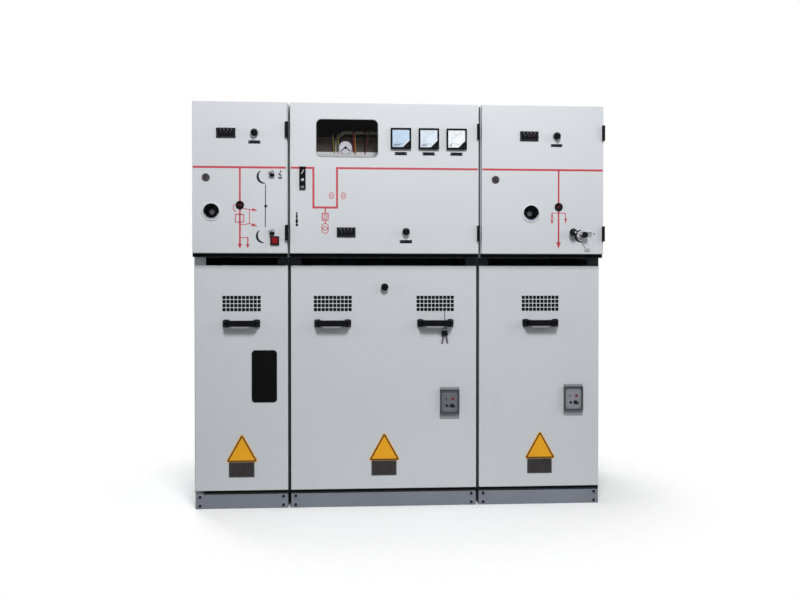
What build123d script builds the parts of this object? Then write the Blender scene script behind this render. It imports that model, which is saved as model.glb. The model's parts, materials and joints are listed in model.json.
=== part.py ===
"""Air-insulated ring main unit: three metal cubicles standing in one row.

Millimetres, +Z up, +X to the right seen from the front, front towards -Y.
The origin is on the floor, in the middle of the footprint.
"""
from build123d import *
import os

os.makedirs("parts", exist_ok=True)

# Row of cubicles
left_bay_width = 375
centre_bay_width = 750
right_bay_width = 500
row_height = 1600
cabinet_depth = 900
upper_projection = 60

# Sheet metal
sheet = 2
bend_radius = 3
door_edge_rounding = 2.5
seam = 1.5
seat_gap = 0.3
rear_set_back = 2.5

# Plinth of channel steel
plinth_height = 60
plinth_inset = 6
plinth_channel_width = 22
plinth_steel = 3

# Posts beside the lower doors, and sealing strips between the bays
post_width = 45
gasket_width = 20
gasket_set_back = 25

# Roof
relief_flap_margin = 60
relief_flap_depth = 300
relief_flap_thickness = 2

# Instrument box behind each upper door
box_height = 607
box_back_depth = 127
box_front_lip = 14

# Doors
door_gap = 12
door_pan_depth = 22
door_seal_gap = 0.5
upper_door_foot_gap = 13
upper_door_head_gap = 8
lower_door_foot_gap = 12
lower_door_head_gap = 33
lower_door_lift = 28

# Lift-off hooks of the lower doors
hook_thickness = 3
hook_arm_height = 12
hook_lip_length = 14
hook_side_clearance = 3
hook_inset = 27
hook_end_distance = 180

# Hinges of the upper doors
hinge_barrel_diameter = 12
hinge_pin_diameter = 6
hinge_running_clearance = 0.3
hinge_stand_off = 7
hinge_length = 60
hinge_bore_floor = 1
hinge_leaf = 2
hinge_leaf_depth = 18
upper_hinge_drop = 107
lower_hinge_rise = 80

# Ventilation grids in the lower doors
vent_hole = 12
vent_hole_corner = 2
vent_columns = 10
vent_rows = 4
vent_pitch_across = 15.2
vent_pitch_up = 16
vent_drop = 150

# Bridge handles
handle_length = 145
handle_reach = 40
handle_section = 12
handle_height = 24
handle_foot = 26
handle_foot_height = 31
handle_foot_thickness = 9
handle_foot_corner = 7
handle_screw_recess = 12
handle_screw_bore = 6.5
handle_screw_floor = 7
handle_drop = 228
handle_edge_radius = 4
handle_rounding = 3.5
left_handle_from_left = 188
right_handle_from_left = 253.5
wide_door_handle_offset = 204

# Windows
window_width = 240
window_height = 146
window_corner = 20
window_from_left = 227.5
window_rise = 448.5
glass_thickness = 4
glass_overlap = 10
inspection_width = 96
inspection_height = 203
inspection_corner = 12
inspection_from_left = 276.5
inspection_drop = 437

# Panel meters
meter_width = 80
meter_height = 81
meter_bezel_depth = 11
meter_rim = 6.5
meter_recess = 3
meter_corner_cut = 26
meter_body = 66
meter_body_depth = 46
meter_bezel_corner = 2
meter_pitch = 109.5
first_meter_from_left = 437
meter_rise = 449

# Live-line displays
display_width = 73
display_height = 37
display_proud = 6
display_body_inset = 4
display_body_depth = 26
lamp_diameter = 8
lamp_pitch = 17
lamp_recess = 1.5
display_chamfer = 1
left_display_from_left = 135.5
right_display_from_left = 195
outer_display_rise = 464.5
centre_display_from_left = 223.5
centre_display_rise = 83

# Selector switches
selector_bezel_diameter = 34
selector_bezel_height = 5
selector_knob_diameter = 27
selector_knob_height = 12
selector_grip_width = 8
selector_grip_height = 8
selector_body_diameter = 22
selector_body_depth = 40
selector_spindle_diameter = 6
selector_spindle_length = 15
selector_bore_depth = 17
selector_chamfer = 2
selector_grip_margin = 1.5
left_selector_from_left = 244.5
right_selector_from_left = 305
outer_selector_rise = 465
centre_selector_from_left = 457
centre_selector_rise = 85

# Quarter-turn locks of the upper doors
lock_rose_diameter = 30
lock_rose_height = 4
lock_barrel_diameter = 22
lock_barrel_depth = 25
lock_slot_width = 3
lock_slot_length = 14
lock_cam_length = 42
lock_cam_width = 14
lock_cam_thickness = 3
lock_chamfer = 1.5
left_lock_from_left = 58.5
right_lock_from_left = 61
lock_rise = 292

# Operating sockets
socket_bore = 61
socket_wall = 2.5
socket_rim_diameter = 74
socket_rim_height = 3
socket_sleeve_depth = 25
operating_shaft_diameter = 24
operating_shaft_hexagon = 19
operating_shaft_hexagon_length = 40
operating_shaft_flange = 56
operating_shaft_flange_thickness = 6
socket_shaft_gap = 6
socket_chamfer = 1.5
left_socket_from_left = 78.5
right_socket_from_left = 203.5
socket_rise = 161

# Switch position indicators
indicator_diameter = 32
indicator_proud = 4
indicator_window = 24
indicator_recess = 2
indicator_body_depth = 14
indicator_chamfer = 1
left_indicator_from_left = 188.5
right_indicator_from_left = 313.5
indicator_rise = 186

# Push button of the left bay
button_frame_size = 34
button_frame_proud = 8
button_cap = 23
button_cap_proud = 4
button_travel = 4
button_running_gap = 0.5
button_body = 28
button_body_depth = 26
button_chamfer = 1
button_from_left = 322
button_rise = 49

# Padlock tabs of the left bay
tab_width = 15
tab_height = 20
tab_reach = 12
tab_hole = 6
tab_thickness = 2
left_tabs_from_left = 306
upper_tab_rise = 306
lower_tab_rise = 80
right_tab_from_left = 438.5
right_tab_rise = 78

# Swing-handle lock of the centre bay
plate_lock_width = 24
plate_lock_height = 89
plate_lock_proud = 6
plate_lock_lever_width = 15
plate_lock_lever_height = 52
plate_lock_lever_proud = 5
plate_lock_body_depth = 28
plate_lock_corner = 2
plate_lock_from_left = 54.5
plate_lock_rise = 292

# Ball lever of the right bay
lever_hub_diameter = 24
lever_hub_height = 27
lever_arm_diameter = 8
lever_length = 47
lever_ball_diameter = 31
lever_ball_stand_off = 24
lever_slope = 12
lever_collar_diameter = 32
lever_collar_height = 4
lever_chamfer = 2
lever_from_left = 413
lever_rise = 75

# Interlocks on the lower doors
interlock_plate_width = 77
interlock_plate_height = 125
interlock_housing_height = 96
interlock_proud = 14
interlock_rim = 6
interlock_recess = 6
interlock_top_margin = 9
centre_interlock_from_left = 636.5
centre_interlock_drop = 548
right_interlock_from_left = 388.5
right_interlock_drop = 539

# Turning knob of the centre lower door
door_knob_diameter = 29
door_knob_height = 22
door_knob_neck = 16
door_knob_neck_length = 9
door_knob_flare = 2
door_knob_rounding = 3
door_knob_from_left = 376
door_knob_drop = 85

# Keys on a wire hanger behind the right handle of the centre lower door
key_hanger_vents_from_middle = 3
key_hanger_wire = 3.2
key_hanger_length = 68
key_hanger_stand_off = 4
key_ring_radius = 9
key_ring_wire = 2
key_bow = 18
key_blade_width = 7
key_blade_length = 28
key_thickness = 2.4
key_lean = 12

# Equipment seen through the window
shelf_above_window_foot = 22.5
shelf_depth = 70
shelf_steel = 2
shelf_margin = 30
dial_diameter = 54
dial_depth = 18
dial_rise = 26
dial_from_left = 222
wire_diameter = 4
wires_from_left = [178, 195, 254, 300]
wire_stand_off = 34
conduit_diameter = 14
conduit_stand_off = 18
conduit_foot_from_left = 183
conduit_bend_from_left = 212
conduit_end_from_left = 380
conduit_bend_rise = 62
conduit_run_rise = 94
conduit_bend_radius = 22

# Derived places across the row
row_width = left_bay_width + centre_bay_width + right_bay_width
bay_edges = [
    -row_width / 2,
    -row_width / 2 + left_bay_width,
    -row_width / 2 + left_bay_width + centre_bay_width,
    row_width / 2,
]
bays = {
    "left": (bay_edges[0], bay_edges[1]),
    "centre": (bay_edges[1], bay_edges[2]),
    "right": (bay_edges[2], bay_edges[3]),
}

# Derived places from front to back
face_fittings = lever_ball_stand_off + lever_ball_diameter / 2
rear_y = (cabinet_depth + face_fittings) / 2
upper_face_y = rear_y - cabinet_depth
lower_face_y = upper_face_y + upper_projection
box_front_y = upper_face_y + door_pan_depth + door_seal_gap
box_back_y = box_front_y + box_back_depth
flange_front_y = lower_face_y + door_pan_depth + door_seal_gap
rear_sheet_y = rear_y - rear_set_back - sheet

# Derived heights
roof_top = row_height - relief_flap_thickness
wall_top = roof_top - sheet
box_top = wall_top - seat_gap
box_underside = row_height - box_height
upper_door_z = (box_underside + upper_door_foot_gap, row_height - upper_door_head_gap)
lower_door_z = (plinth_height + lower_door_foot_gap, box_underside - lower_door_head_gap)

# Derived sizes of fittings that a cut-out has to match
display_body = (display_width - 2 * display_body_inset, display_height - 2 * display_body_inset)
socket_outer = socket_bore + 2 * socket_wall


def front_plane(y):
    """Sketch plane that faces the front at depth y; its second axis is +Z."""
    return Plane.XZ.offset(-y)


def block(x_range, y_range, z_range, mode=Mode.ADD):
    """Add or cut a block between the given ranges."""
    centre = [(low + high) / 2 for low, high in (x_range, y_range, z_range)]
    spans = [high - low for low, high in (x_range, y_range, z_range)]
    with Locations(tuple(centre)):
        Box(*spans, mode=mode)


def keep(part, node):
    """Name a finished piece and write it."""
    part.label = node
    export_step(part, f"parts/{node}.step")


def folded_pan(x_range, z_range, face_y):
    """Door sheet with its four edges folded back, as a part."""
    width = x_range[1] - x_range[0]
    height = z_range[1] - z_range[0]
    middle = (sum(x_range) / 2, sum(z_range) / 2)
    with BuildPart() as pan:
        with BuildSketch(front_plane(face_y)):
            with Locations(middle):
                RectangleRounded(width, height, bend_radius)
        extrude(amount=-door_pan_depth)
        fillet(pan.faces().sort_by(Axis.Y)[0].edges(), door_edge_rounding)
        with BuildSketch(front_plane(face_y + sheet)):
            with Locations(middle):
                Rectangle(width - 2 * sheet, height - 2 * sheet)
        extrude(amount=-door_pan_depth, mode=Mode.SUBTRACT)
    return pan.part


def hook_levels():
    """Heights of the undersides of a lower door's hooks."""
    return (lower_door_z[0] + hook_end_distance, lower_door_z[1] - hook_end_distance)


def across(edge_x, inward, start, reach):
    """Range in x that begins at a distance from a bay's edge and reaches into the bay."""
    near = edge_x + inward * start
    return tuple(sorted((near, near + inward * reach)))


def side_wall(edge_x, inward):
    """Side sheet of a bay. inward is +1 for a left wall, -1 for a right one."""
    block(across(edge_x, inward, seam, sheet), (flange_front_y + sheet, rear_sheet_y),
          (plinth_height, wall_top))


def hook_post(edge_x, inward):
    """Post beside a lower door, with two slots that take the door's hooks."""
    post_y = (flange_front_y, flange_front_y + sheet)
    block(across(edge_x, inward, seam, post_width), post_y, (plinth_height, box_underside - seat_gap))
    slot_width = hook_thickness + 2 * hook_side_clearance
    for level in hook_levels():
        block(across(edge_x, inward, hook_inset - slot_width / 2, slot_width), post_y,
              (level - seat_gap, level + hook_arm_height + lower_door_lift + hook_side_clearance),
              mode=Mode.SUBTRACT)


# Outer side walls, the pairs of walls between two bays, and the posts beside the lower doors
with BuildPart() as left_side_wall:
    side_wall(bay_edges[0], 1)
keep(left_side_wall.part, "left_side_wall")
with BuildPart() as right_side_wall:
    side_wall(bay_edges[3], -1)
keep(right_side_wall.part, "right_side_wall")
for node, edge in (("left_partition_walls", bay_edges[1]), ("right_partition_walls", bay_edges[2])):
    with BuildPart() as partition:
        side_wall(edge, -1)
        side_wall(edge, 1)
    keep(partition.part, node)
with BuildPart() as hook_posts:
    for left, right in bays.values():
        hook_post(left, 1)
        hook_post(right, -1)
keep(hook_posts.part, "hook_posts")

# Sealing strips that fill the seams between two bays, near the front and the rear
with BuildPart() as seam_gaskets:
    for edge in bay_edges[1:3]:
        for front in (flange_front_y + gasket_set_back, rear_y - gasket_set_back - gasket_width):
            block((edge - seam, edge + seam), (front, front + gasket_width), (plinth_height, wall_top))
keep(seam_gaskets.part, "seam_gaskets")

# Rear walls and roofs, with a pressure relief flap on each roof
with BuildPart() as rear_walls:
    for left, right in bays.values():
        block((left + seam, right - seam), (rear_sheet_y, rear_sheet_y + sheet), (plinth_height, wall_top))
keep(rear_walls.part, "rear_walls")

with BuildPart() as roofs:
    for left, right in bays.values():
        block((left + seam, right - seam), (flange_front_y, rear_y), (wall_top, roof_top))
        flap_front = rear_y - relief_flap_margin - relief_flap_depth
        block((left + relief_flap_margin, right - relief_flap_margin),
              (flap_front, flap_front + relief_flap_depth), (roof_top, row_height))
keep(roofs.part, "roofs")

# Plinths and instrument boxes of the three bays
for bay, (left, right) in bays.items():
    with BuildPart() as plinth:
        front = lower_face_y + plinth_inset
        back = rear_y - plinth_inset
        block((left + plinth_inset, right - plinth_inset), (front, back), (0, plinth_height))
        block((left + plinth_inset + plinth_steel, right - plinth_inset - plinth_steel),
              (front + plinth_steel, back - plinth_steel),
              (plinth_steel, plinth_height - plinth_steel), mode=Mode.SUBTRACT)
        rim = plinth_inset + plinth_channel_width
        block((left + rim, right - rim), (front + plinth_channel_width, back - plinth_channel_width),
              (0, plinth_height), mode=Mode.SUBTRACT)
    keep(plinth.part, f"{bay}_plinth")

    with BuildPart() as box:
        side = seam + sheet + seat_gap
        block((left + side, right - side), (box_front_y, box_back_y), (box_underside, box_top))
        block((left + side + sheet, right - side - sheet),
              (box_front_y + sheet, box_back_y - sheet),
              (box_underside + sheet, box_top - sheet), mode=Mode.SUBTRACT)
        lip = side + box_front_lip
        block((left + lip, right - lip), (box_front_y, box_front_y + sheet),
              (box_underside + box_front_lip, box_top - box_front_lip), mode=Mode.SUBTRACT)
    keep(box.part, f"{bay}_instrument_box")

# Floor sheets, one in each bay
with BuildPart() as floor_plates:
    for left, right in bays.values():
        inside = seam + sheet
        block((left + inside, right - inside), (flange_front_y + sheet, rear_sheet_y),
              (plinth_height, plinth_height + sheet))
keep(floor_plates.part, "floor_plates")

# Hinges of the upper doors: lower knuckles with their pins on the boxes
hinge_levels = (
    upper_door_z[0] + lower_hinge_rise,
    upper_door_z[1] - upper_hinge_drop,
)
hinge_y = upper_face_y - hinge_stand_off
knuckle = hinge_length / 2
with BuildPart() as hinge_pins:
    for left, right in bays.values():
        axis_x = right - door_gap / 2 - seam
        leaf_x = right - seam - sheet - seat_gap
        for level in hinge_levels:
            with BuildSketch(Plane.XY.offset(level - knuckle)):
                with Locations((axis_x, hinge_y)):
                    Circle(hinge_barrel_diameter / 2)
                leaf_back = box_front_y + hinge_leaf_depth
                with Locations((leaf_x + hinge_leaf / 2, (hinge_y + leaf_back) / 2)):
                    Rectangle(hinge_leaf, leaf_back - hinge_y)
            extrude(amount=knuckle - hinge_running_clearance)
            with BuildSketch(Plane.XY.offset(level - knuckle)):
                with Locations((axis_x, hinge_y)):
                    Circle(hinge_pin_diameter / 2)
            extrude(amount=2 * knuckle - hinge_leaf)
keep(hinge_pins.part, "hinge_pins")


def hinge_knuckles(right):
    """Upper knuckles of one door, each with its leaf on the door's folded edge."""
    edge_x = right - door_gap / 2
    axis_x = edge_x - seam
    with BuildPart() as knuckles:
        for level in hinge_levels:
            with BuildSketch(Plane.XY.offset(level)):
                with Locations((axis_x, hinge_y)):
                    Circle(hinge_barrel_diameter / 2)
                leaf_back = upper_face_y + door_pan_depth - bend_radius
                with Locations((edge_x + hinge_leaf / 2, (hinge_y + leaf_back) / 2)):
                    Rectangle(hinge_leaf, leaf_back - hinge_y)
            extrude(amount=knuckle)
            with BuildSketch(Plane.XY.offset(level)):
                with Locations((axis_x, hinge_y)):
                    Circle(hinge_pin_diameter / 2 + hinge_running_clearance)
            extrude(amount=knuckle - hinge_bore_floor, mode=Mode.SUBTRACT)
    return knuckles.part


def front_disc(place, y, diameter, depth, mode=Mode.ADD):
    """Disc whose front is at y and which reaches depth to the rear."""
    with BuildSketch(front_plane(y)) as outline:
        with Locations(place):
            Circle(diameter / 2)
    extrude(outline.sketch, amount=-depth, mode=mode)


def front_pad(place, size, y, depth, mode=Mode.ADD, corner=0):
    """Rectangular pad whose front is at y and which reaches depth to the rear."""
    with BuildSketch(front_plane(y)) as outline:
        with Locations(place):
            if corner:
                RectangleRounded(size[0], size[1], corner)
            else:
                Rectangle(size[0], size[1])
    extrude(outline.sketch, amount=-depth, mode=mode)


def upper_place(bay, from_left, rise):
    """Place of a fitting on an upper door, as (x, z)."""
    return (bays[bay][0] + from_left, upper_door_z[0] + rise)


def lower_place(bay, from_left, drop):
    """Place of a fitting on a lower door, as (x, z)."""
    return (bays[bay][0] + from_left, lower_door_z[1] - drop)


left_display_place = upper_place("left", left_display_from_left, outer_display_rise)
right_display_place = upper_place("right", right_display_from_left, outer_display_rise)
centre_display_place = upper_place("centre", centre_display_from_left, centre_display_rise)
left_selector_place = upper_place("left", left_selector_from_left, outer_selector_rise)
right_selector_place = upper_place("right", right_selector_from_left, outer_selector_rise)
centre_selector_place = upper_place("centre", centre_selector_from_left, centre_selector_rise)
left_lock_place = upper_place("left", left_lock_from_left, lock_rise)
right_lock_place = upper_place("right", right_lock_from_left, lock_rise)
left_socket_place = upper_place("left", left_socket_from_left, socket_rise)
right_socket_place = upper_place("right", right_socket_from_left, socket_rise)
left_indicator_place = upper_place("left", left_indicator_from_left, indicator_rise)
right_indicator_place = upper_place("right", right_indicator_from_left, indicator_rise)
button_place = upper_place("left", button_from_left, button_rise)
left_tab_places = [
    upper_place("left", left_tabs_from_left, upper_tab_rise),
    upper_place("left", left_tabs_from_left, lower_tab_rise),
]
right_tab_place = upper_place("right", right_tab_from_left, right_tab_rise)
plate_lock_place = upper_place("centre", plate_lock_from_left, plate_lock_rise)
lever_place = upper_place("right", lever_from_left, lever_rise)
window_place = upper_place("centre", window_from_left, window_rise)
meter_places = [
    upper_place("centre", first_meter_from_left + step * meter_pitch, meter_rise)
    for step in range(3)
]


def live_line_display(place, face_y):
    """Bezel with three lamp seats in front of the door, body behind it."""
    with BuildPart() as display:
        front_pad(place, (display_width, display_height), face_y - display_proud, display_proud)
        chamfer(display.faces().sort_by(Axis.Y)[0].edges(), display_chamfer)
        front_pad(place, display_body, face_y, display_body_depth)
        for step in (-1, 0, 1):
            lamp = (place[0] + step * lamp_pitch, place[1])
            front_disc(lamp, face_y - display_proud, lamp_diameter, lamp_recess, Mode.SUBTRACT)
    return display.part


def selector_bezel(place, face_y):
    """Ring in front of the door and the threaded body behind it."""
    with BuildPart() as bezel:
        front_disc(place, face_y - selector_bezel_height, selector_bezel_diameter, selector_bezel_height)
        chamfer(bezel.faces().sort_by(Axis.Y)[0].edges(), selector_chamfer)
        front_disc(place, face_y, selector_body_diameter, selector_body_depth)
        bore = selector_spindle_diameter + 2 * seat_gap
        front_disc(place, face_y - selector_bezel_height, bore, selector_bore_depth, Mode.SUBTRACT)
    return bezel.part


def selector_knob(place, face_y):
    """Round knob with a raised grip bar and a spindle."""
    base_y = face_y - selector_bezel_height - seat_gap
    with BuildPart() as knob:
        front_disc(place, base_y - selector_knob_height, selector_knob_diameter, selector_knob_height)
        fillet(knob.faces().sort_by(Axis.Y)[0].edges(), selector_chamfer)
        grip_front = base_y - selector_knob_height - selector_grip_height
        front_pad(place, (selector_grip_width, selector_knob_diameter - 2 * selector_grip_margin),
                  grip_front, selector_grip_height + selector_chamfer, corner=selector_chamfer)
        front_disc(place, base_y, selector_spindle_diameter, selector_spindle_length)
    return knob.part


def quarter_turn_lock(place, face_y):
    """Rose with a key slot, barrel and a cam that hangs down, unlocked."""
    with BuildPart() as lock:
        front_disc(place, face_y - lock_rose_height, lock_rose_diameter, lock_rose_height)
        chamfer(lock.faces().sort_by(Axis.Y)[0].edges(), lock_chamfer)
        front_disc(place, face_y, lock_barrel_diameter, lock_barrel_depth)
        front_pad(place, (lock_slot_width, lock_slot_length), face_y - lock_rose_height,
                  lock_rose_height, Mode.SUBTRACT)
        cam_middle = (place[0], place[1] - lock_cam_length / 2 + lock_cam_width / 2)
        front_pad(cam_middle, (lock_cam_width, lock_cam_length), face_y + lock_barrel_depth,
                  lock_cam_thickness)
    return lock.part


def socket_sleeve(place, face_y):
    """Rim and sleeve that line the hole for the operating handle."""
    with BuildPart() as sleeve:
        front_disc(place, face_y - socket_rim_height, socket_rim_diameter, socket_rim_height)
        chamfer(sleeve.faces().sort_by(Axis.Y)[0].edges(), socket_chamfer)
        front_disc(place, face_y, socket_outer, socket_sleeve_depth)
        front_disc(place, face_y - socket_rim_height, socket_bore,
                   socket_rim_height + socket_sleeve_depth, Mode.SUBTRACT)
    return sleeve.part


def position_indicator(place, face_y):
    """Round indicator with a sunk face."""
    with BuildPart() as indicator:
        front_disc(place, face_y - indicator_proud, indicator_diameter, indicator_proud)
        chamfer(indicator.faces().sort_by(Axis.Y)[0].edges(), indicator_chamfer)
        front_disc(place, face_y, indicator_window, indicator_body_depth)
        front_disc(place, face_y - indicator_proud, indicator_window, indicator_recess, Mode.SUBTRACT)
    return indicator.part


def round_cut(place, diameter):
    """Hole through an upper door with the clearance that a fitting needs."""
    front_disc(place, upper_face_y, diameter + 2 * seat_gap, sheet, Mode.SUBTRACT)


def pad_cut(place, size, face_y=upper_face_y):
    """Rectangular cut-out with the clearance that a fitting needs."""
    clear = (size[0] + 2 * seat_gap, size[1] + 2 * seat_gap)
    front_pad(place, clear, face_y, sheet, Mode.SUBTRACT)


def padlock_tab(place):
    """Small plate with an ear that stands out from the door and takes a padlock."""
    half = tab_width / 2
    ear_z = (place[1] + tab_height / 2 - tab_thickness, place[1] + tab_height / 2)
    front_pad(place, (tab_width, tab_height), upper_face_y - tab_thickness, tab_thickness)
    block((place[0] - half, place[0] + half), (upper_face_y - tab_reach, upper_face_y), ear_z)
    with Locations((place[0], upper_face_y - (tab_reach + tab_thickness) / 2, sum(ear_z) / 2)):
        Cylinder(tab_hole / 2, tab_thickness, mode=Mode.SUBTRACT)


# Upper door of the left bay and its fittings
left, right = bays["left"]
with BuildPart() as left_instrument_door:
    add(folded_pan((left + door_gap / 2, right - door_gap / 2), upper_door_z, upper_face_y))
    pad_cut(left_display_place, display_body)
    round_cut(left_selector_place, selector_body_diameter)
    round_cut(left_lock_place, lock_barrel_diameter)
    round_cut(left_socket_place, socket_outer)
    round_cut(left_indicator_place, indicator_window)
    pad_cut(button_place, (button_body, button_body))
keep(left_instrument_door.part, "left_instrument_door")
keep(hinge_knuckles(right), "left_hinge_knuckles")
keep(live_line_display(left_display_place, upper_face_y), "left_display")
with BuildPart() as left_bezels:
    add(selector_bezel(left_selector_place, upper_face_y))
    add(socket_sleeve(left_socket_place, upper_face_y))
keep(left_bezels.part, "left_bezels")
keep(selector_knob(left_selector_place, upper_face_y), "left_selector_knob")
keep(quarter_turn_lock(left_lock_place, upper_face_y), "left_lock")
keep(position_indicator(left_indicator_place, upper_face_y), "left_position_indicator")

with BuildPart() as push_button_frame:
    frame_front = upper_face_y - button_frame_proud
    front_pad(button_place, (button_frame_size, button_frame_size), frame_front, button_frame_proud)
    chamfer(push_button_frame.faces().sort_by(Axis.Y)[0].edges(), button_chamfer)
    front_pad(button_place, (button_body, button_body), upper_face_y, button_body_depth)
    pocket = button_cap + 2 * button_running_gap
    front_pad(button_place, (pocket, pocket), frame_front,
              button_frame_proud + button_travel + seat_gap, Mode.SUBTRACT)
keep(push_button_frame.part, "push_button_frame")

with BuildPart() as push_button:
    front_pad(button_place, (button_cap, button_cap), frame_front - button_cap_proud,
              button_cap_proud + button_frame_proud)
    fillet(push_button.faces().sort_by(Axis.Y)[0].edges(), button_chamfer)
keep(push_button.part, "push_button")

with BuildPart() as padlock_tabs:
    for place in left_tab_places:
        padlock_tab(place)
keep(padlock_tabs.part, "padlock_tabs")

# Upper door of the centre bay and its fittings
left, right = bays["centre"]
with BuildPart() as centre_instrument_door:
    add(folded_pan((left + door_gap / 2, right - door_gap / 2), upper_door_z, upper_face_y))
    front_pad(window_place, (window_width, window_height), upper_face_y, sheet,
              Mode.SUBTRACT, corner=window_corner)
    for place in meter_places:
        pad_cut(place, (meter_body, meter_body))
    pad_cut(centre_display_place, display_body)
    round_cut(centre_selector_place, selector_body_diameter)
    pad_cut(plate_lock_place, (plate_lock_lever_width, plate_lock_lever_height))
keep(centre_instrument_door.part, "centre_instrument_door")
keep(hinge_knuckles(right), "centre_hinge_knuckles")
keep(live_line_display(centre_display_place, upper_face_y), "centre_display")
keep(selector_bezel(centre_selector_place, upper_face_y), "centre_selector_bezel")
keep(selector_knob(centre_selector_place, upper_face_y), "centre_selector_knob")

with BuildPart() as window_glass:
    front_pad(window_place, (window_width + 2 * glass_overlap, window_height + 2 * glass_overlap),
              upper_face_y + sheet, glass_thickness, corner=window_corner)
keep(window_glass.part, "centre_window_glass")

with BuildPart() as panel_meters:
    for place in meter_places:
        bezel_y = upper_face_y - meter_bezel_depth
        front_pad(place, (meter_width, meter_height), bezel_y, meter_bezel_depth,
                  corner=meter_bezel_corner)
        front_pad(place, (meter_body, meter_body), upper_face_y, meter_body_depth)
        inner_x = meter_width / 2 - meter_rim
        inner_z = meter_height / 2 - meter_rim
        cut = meter_corner_cut
        with BuildSketch(front_plane(bezel_y)) as dial_recess:
            with BuildLine():
                Polyline(
                    (place[0] - inner_x, place[1] - inner_z),
                    (place[0] + inner_x - cut, place[1] - inner_z),
                    (place[0] + inner_x, place[1] - inner_z + cut),
                    (place[0] + inner_x, place[1] + inner_z),
                    (place[0] - inner_x, place[1] + inner_z),
                    close=True,
                )
            make_face()
        extrude(dial_recess.sketch, amount=-meter_recess, mode=Mode.SUBTRACT)
keep(panel_meters.part, "panel_meters")

with BuildPart() as plate_lock:
    front_pad(plate_lock_place, (plate_lock_width, plate_lock_height),
              upper_face_y - plate_lock_proud, plate_lock_proud, corner=plate_lock_corner)
    lever_size = (plate_lock_lever_width, plate_lock_lever_height)
    front_pad(plate_lock_place, lever_size,
              upper_face_y - plate_lock_proud - plate_lock_lever_proud, plate_lock_lever_proud,
              corner=plate_lock_corner)
    front_pad(plate_lock_place, lever_size, upper_face_y, plate_lock_body_depth)
keep(plate_lock.part, "centre_plate_lock")

# Upper door of the right bay and its fittings
left, right = bays["right"]
with BuildPart() as right_instrument_door:
    add(folded_pan((left + door_gap / 2, right - door_gap / 2), upper_door_z, upper_face_y))
    pad_cut(right_display_place, display_body)
    round_cut(right_selector_place, selector_body_diameter)
    round_cut(right_lock_place, lock_barrel_diameter)
    round_cut(right_socket_place, socket_outer)
    round_cut(right_indicator_place, indicator_window)
keep(right_instrument_door.part, "right_instrument_door")
keep(hinge_knuckles(right), "right_hinge_knuckles")
keep(live_line_display(right_display_place, upper_face_y), "right_display")
with BuildPart() as right_bezels:
    add(selector_bezel(right_selector_place, upper_face_y))
    add(socket_sleeve(right_socket_place, upper_face_y))
    collar_height = lever_collar_height - seat_gap
    front_disc(lever_place, upper_face_y - collar_height, lever_collar_diameter, collar_height)
    padlock_tab(right_tab_place)
keep(right_bezels.part, "right_bezels")
keep(selector_knob(right_selector_place, upper_face_y), "right_selector_knob")
keep(quarter_turn_lock(right_lock_place, upper_face_y), "right_lock")
keep(position_indicator(right_indicator_place, upper_face_y), "right_position_indicator")

with BuildPart() as ball_lever:
    hub_front = upper_face_y - lever_collar_height - lever_hub_height
    front_disc(lever_place, hub_front, lever_hub_diameter, lever_hub_height)
    chamfer(ball_lever.faces().sort_by(Axis.Y)[0].edges(), lever_chamfer)
    pointing = Vector(-1, 0, 0).rotate(Axis.Y, lever_slope)
    hub_axis = Vector(lever_place[0], upper_face_y - lever_ball_stand_off, lever_place[1])
    with BuildSketch(Plane(origin=hub_axis, z_dir=pointing)):
        Circle(lever_arm_diameter / 2)
    extrude(amount=lever_length)
    with Locations(tuple(hub_axis + pointing * lever_length)):
        Sphere(lever_ball_diameter / 2, rotation=(0, 0, 90))
keep(ball_lever.part, "ball_lever")

# Operating shafts that stand behind the sockets
with BuildPart() as operating_shafts:
    for place in (left_socket_place, right_socket_place):
        shaft_front = upper_face_y + socket_sleeve_depth + socket_shaft_gap
        shaft_back = box_back_y - sheet
        front_disc(place, shaft_back - operating_shaft_flange_thickness, operating_shaft_flange,
                   operating_shaft_flange_thickness)
        with BuildSketch(front_plane(shaft_front)) as hexagon:
            with Locations(place):
                RegularPolygon(operating_shaft_hexagon / 2, 6, major_radius=False)
        extrude(hexagon.sketch, amount=-operating_shaft_hexagon_length)
        round_front = shaft_front + operating_shaft_hexagon_length
        front_disc(place, round_front, operating_shaft_diameter, shaft_back - round_front)
keep(operating_shafts.part, "operating_shafts")

# Equipment seen through the centre window
left, right = bays["centre"]
with BuildPart() as metering_shelf:
    inner_back = box_back_y - sheet
    shelf_height = window_place[1] - window_height / 2 + shelf_above_window_foot
    shelf_x = (window_place[0] - window_width / 2 - shelf_margin,
               window_place[0] + window_width / 2 + shelf_margin)
    block(shelf_x, (inner_back - shelf_depth, inner_back), (shelf_height - shelf_steel, shelf_height))
    block(shelf_x, (inner_back - shelf_depth, inner_back - shelf_depth + shelf_steel),
          (shelf_height - shelf_margin, shelf_height))
    block(shelf_x, (inner_back - shelf_steel, inner_back),
          (shelf_height - 2 * shelf_margin, shelf_height))
keep(metering_shelf.part, "metering_shelf")

dial_place = (left + dial_from_left, shelf_height + dial_rise)
with BuildPart() as metering_dial:
    dial_front = inner_back - shelf_depth + shelf_steel
    front_disc(dial_place, dial_front, dial_diameter, dial_depth)
    with BuildSketch(Plane.XY.offset(shelf_height)):
        with Locations((dial_place[0], dial_front + dial_depth / 2)):
            Rectangle(dial_diameter, dial_depth)
    extrude(amount=dial_rise)
    block((dial_place[0] - dial_diameter, dial_place[0] + dial_diameter),
          (dial_front, dial_front + dial_depth),
          (dial_place[1] - dial_diameter, shelf_height), mode=Mode.SUBTRACT)
keep(metering_dial.part, "metering_dial")

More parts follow.
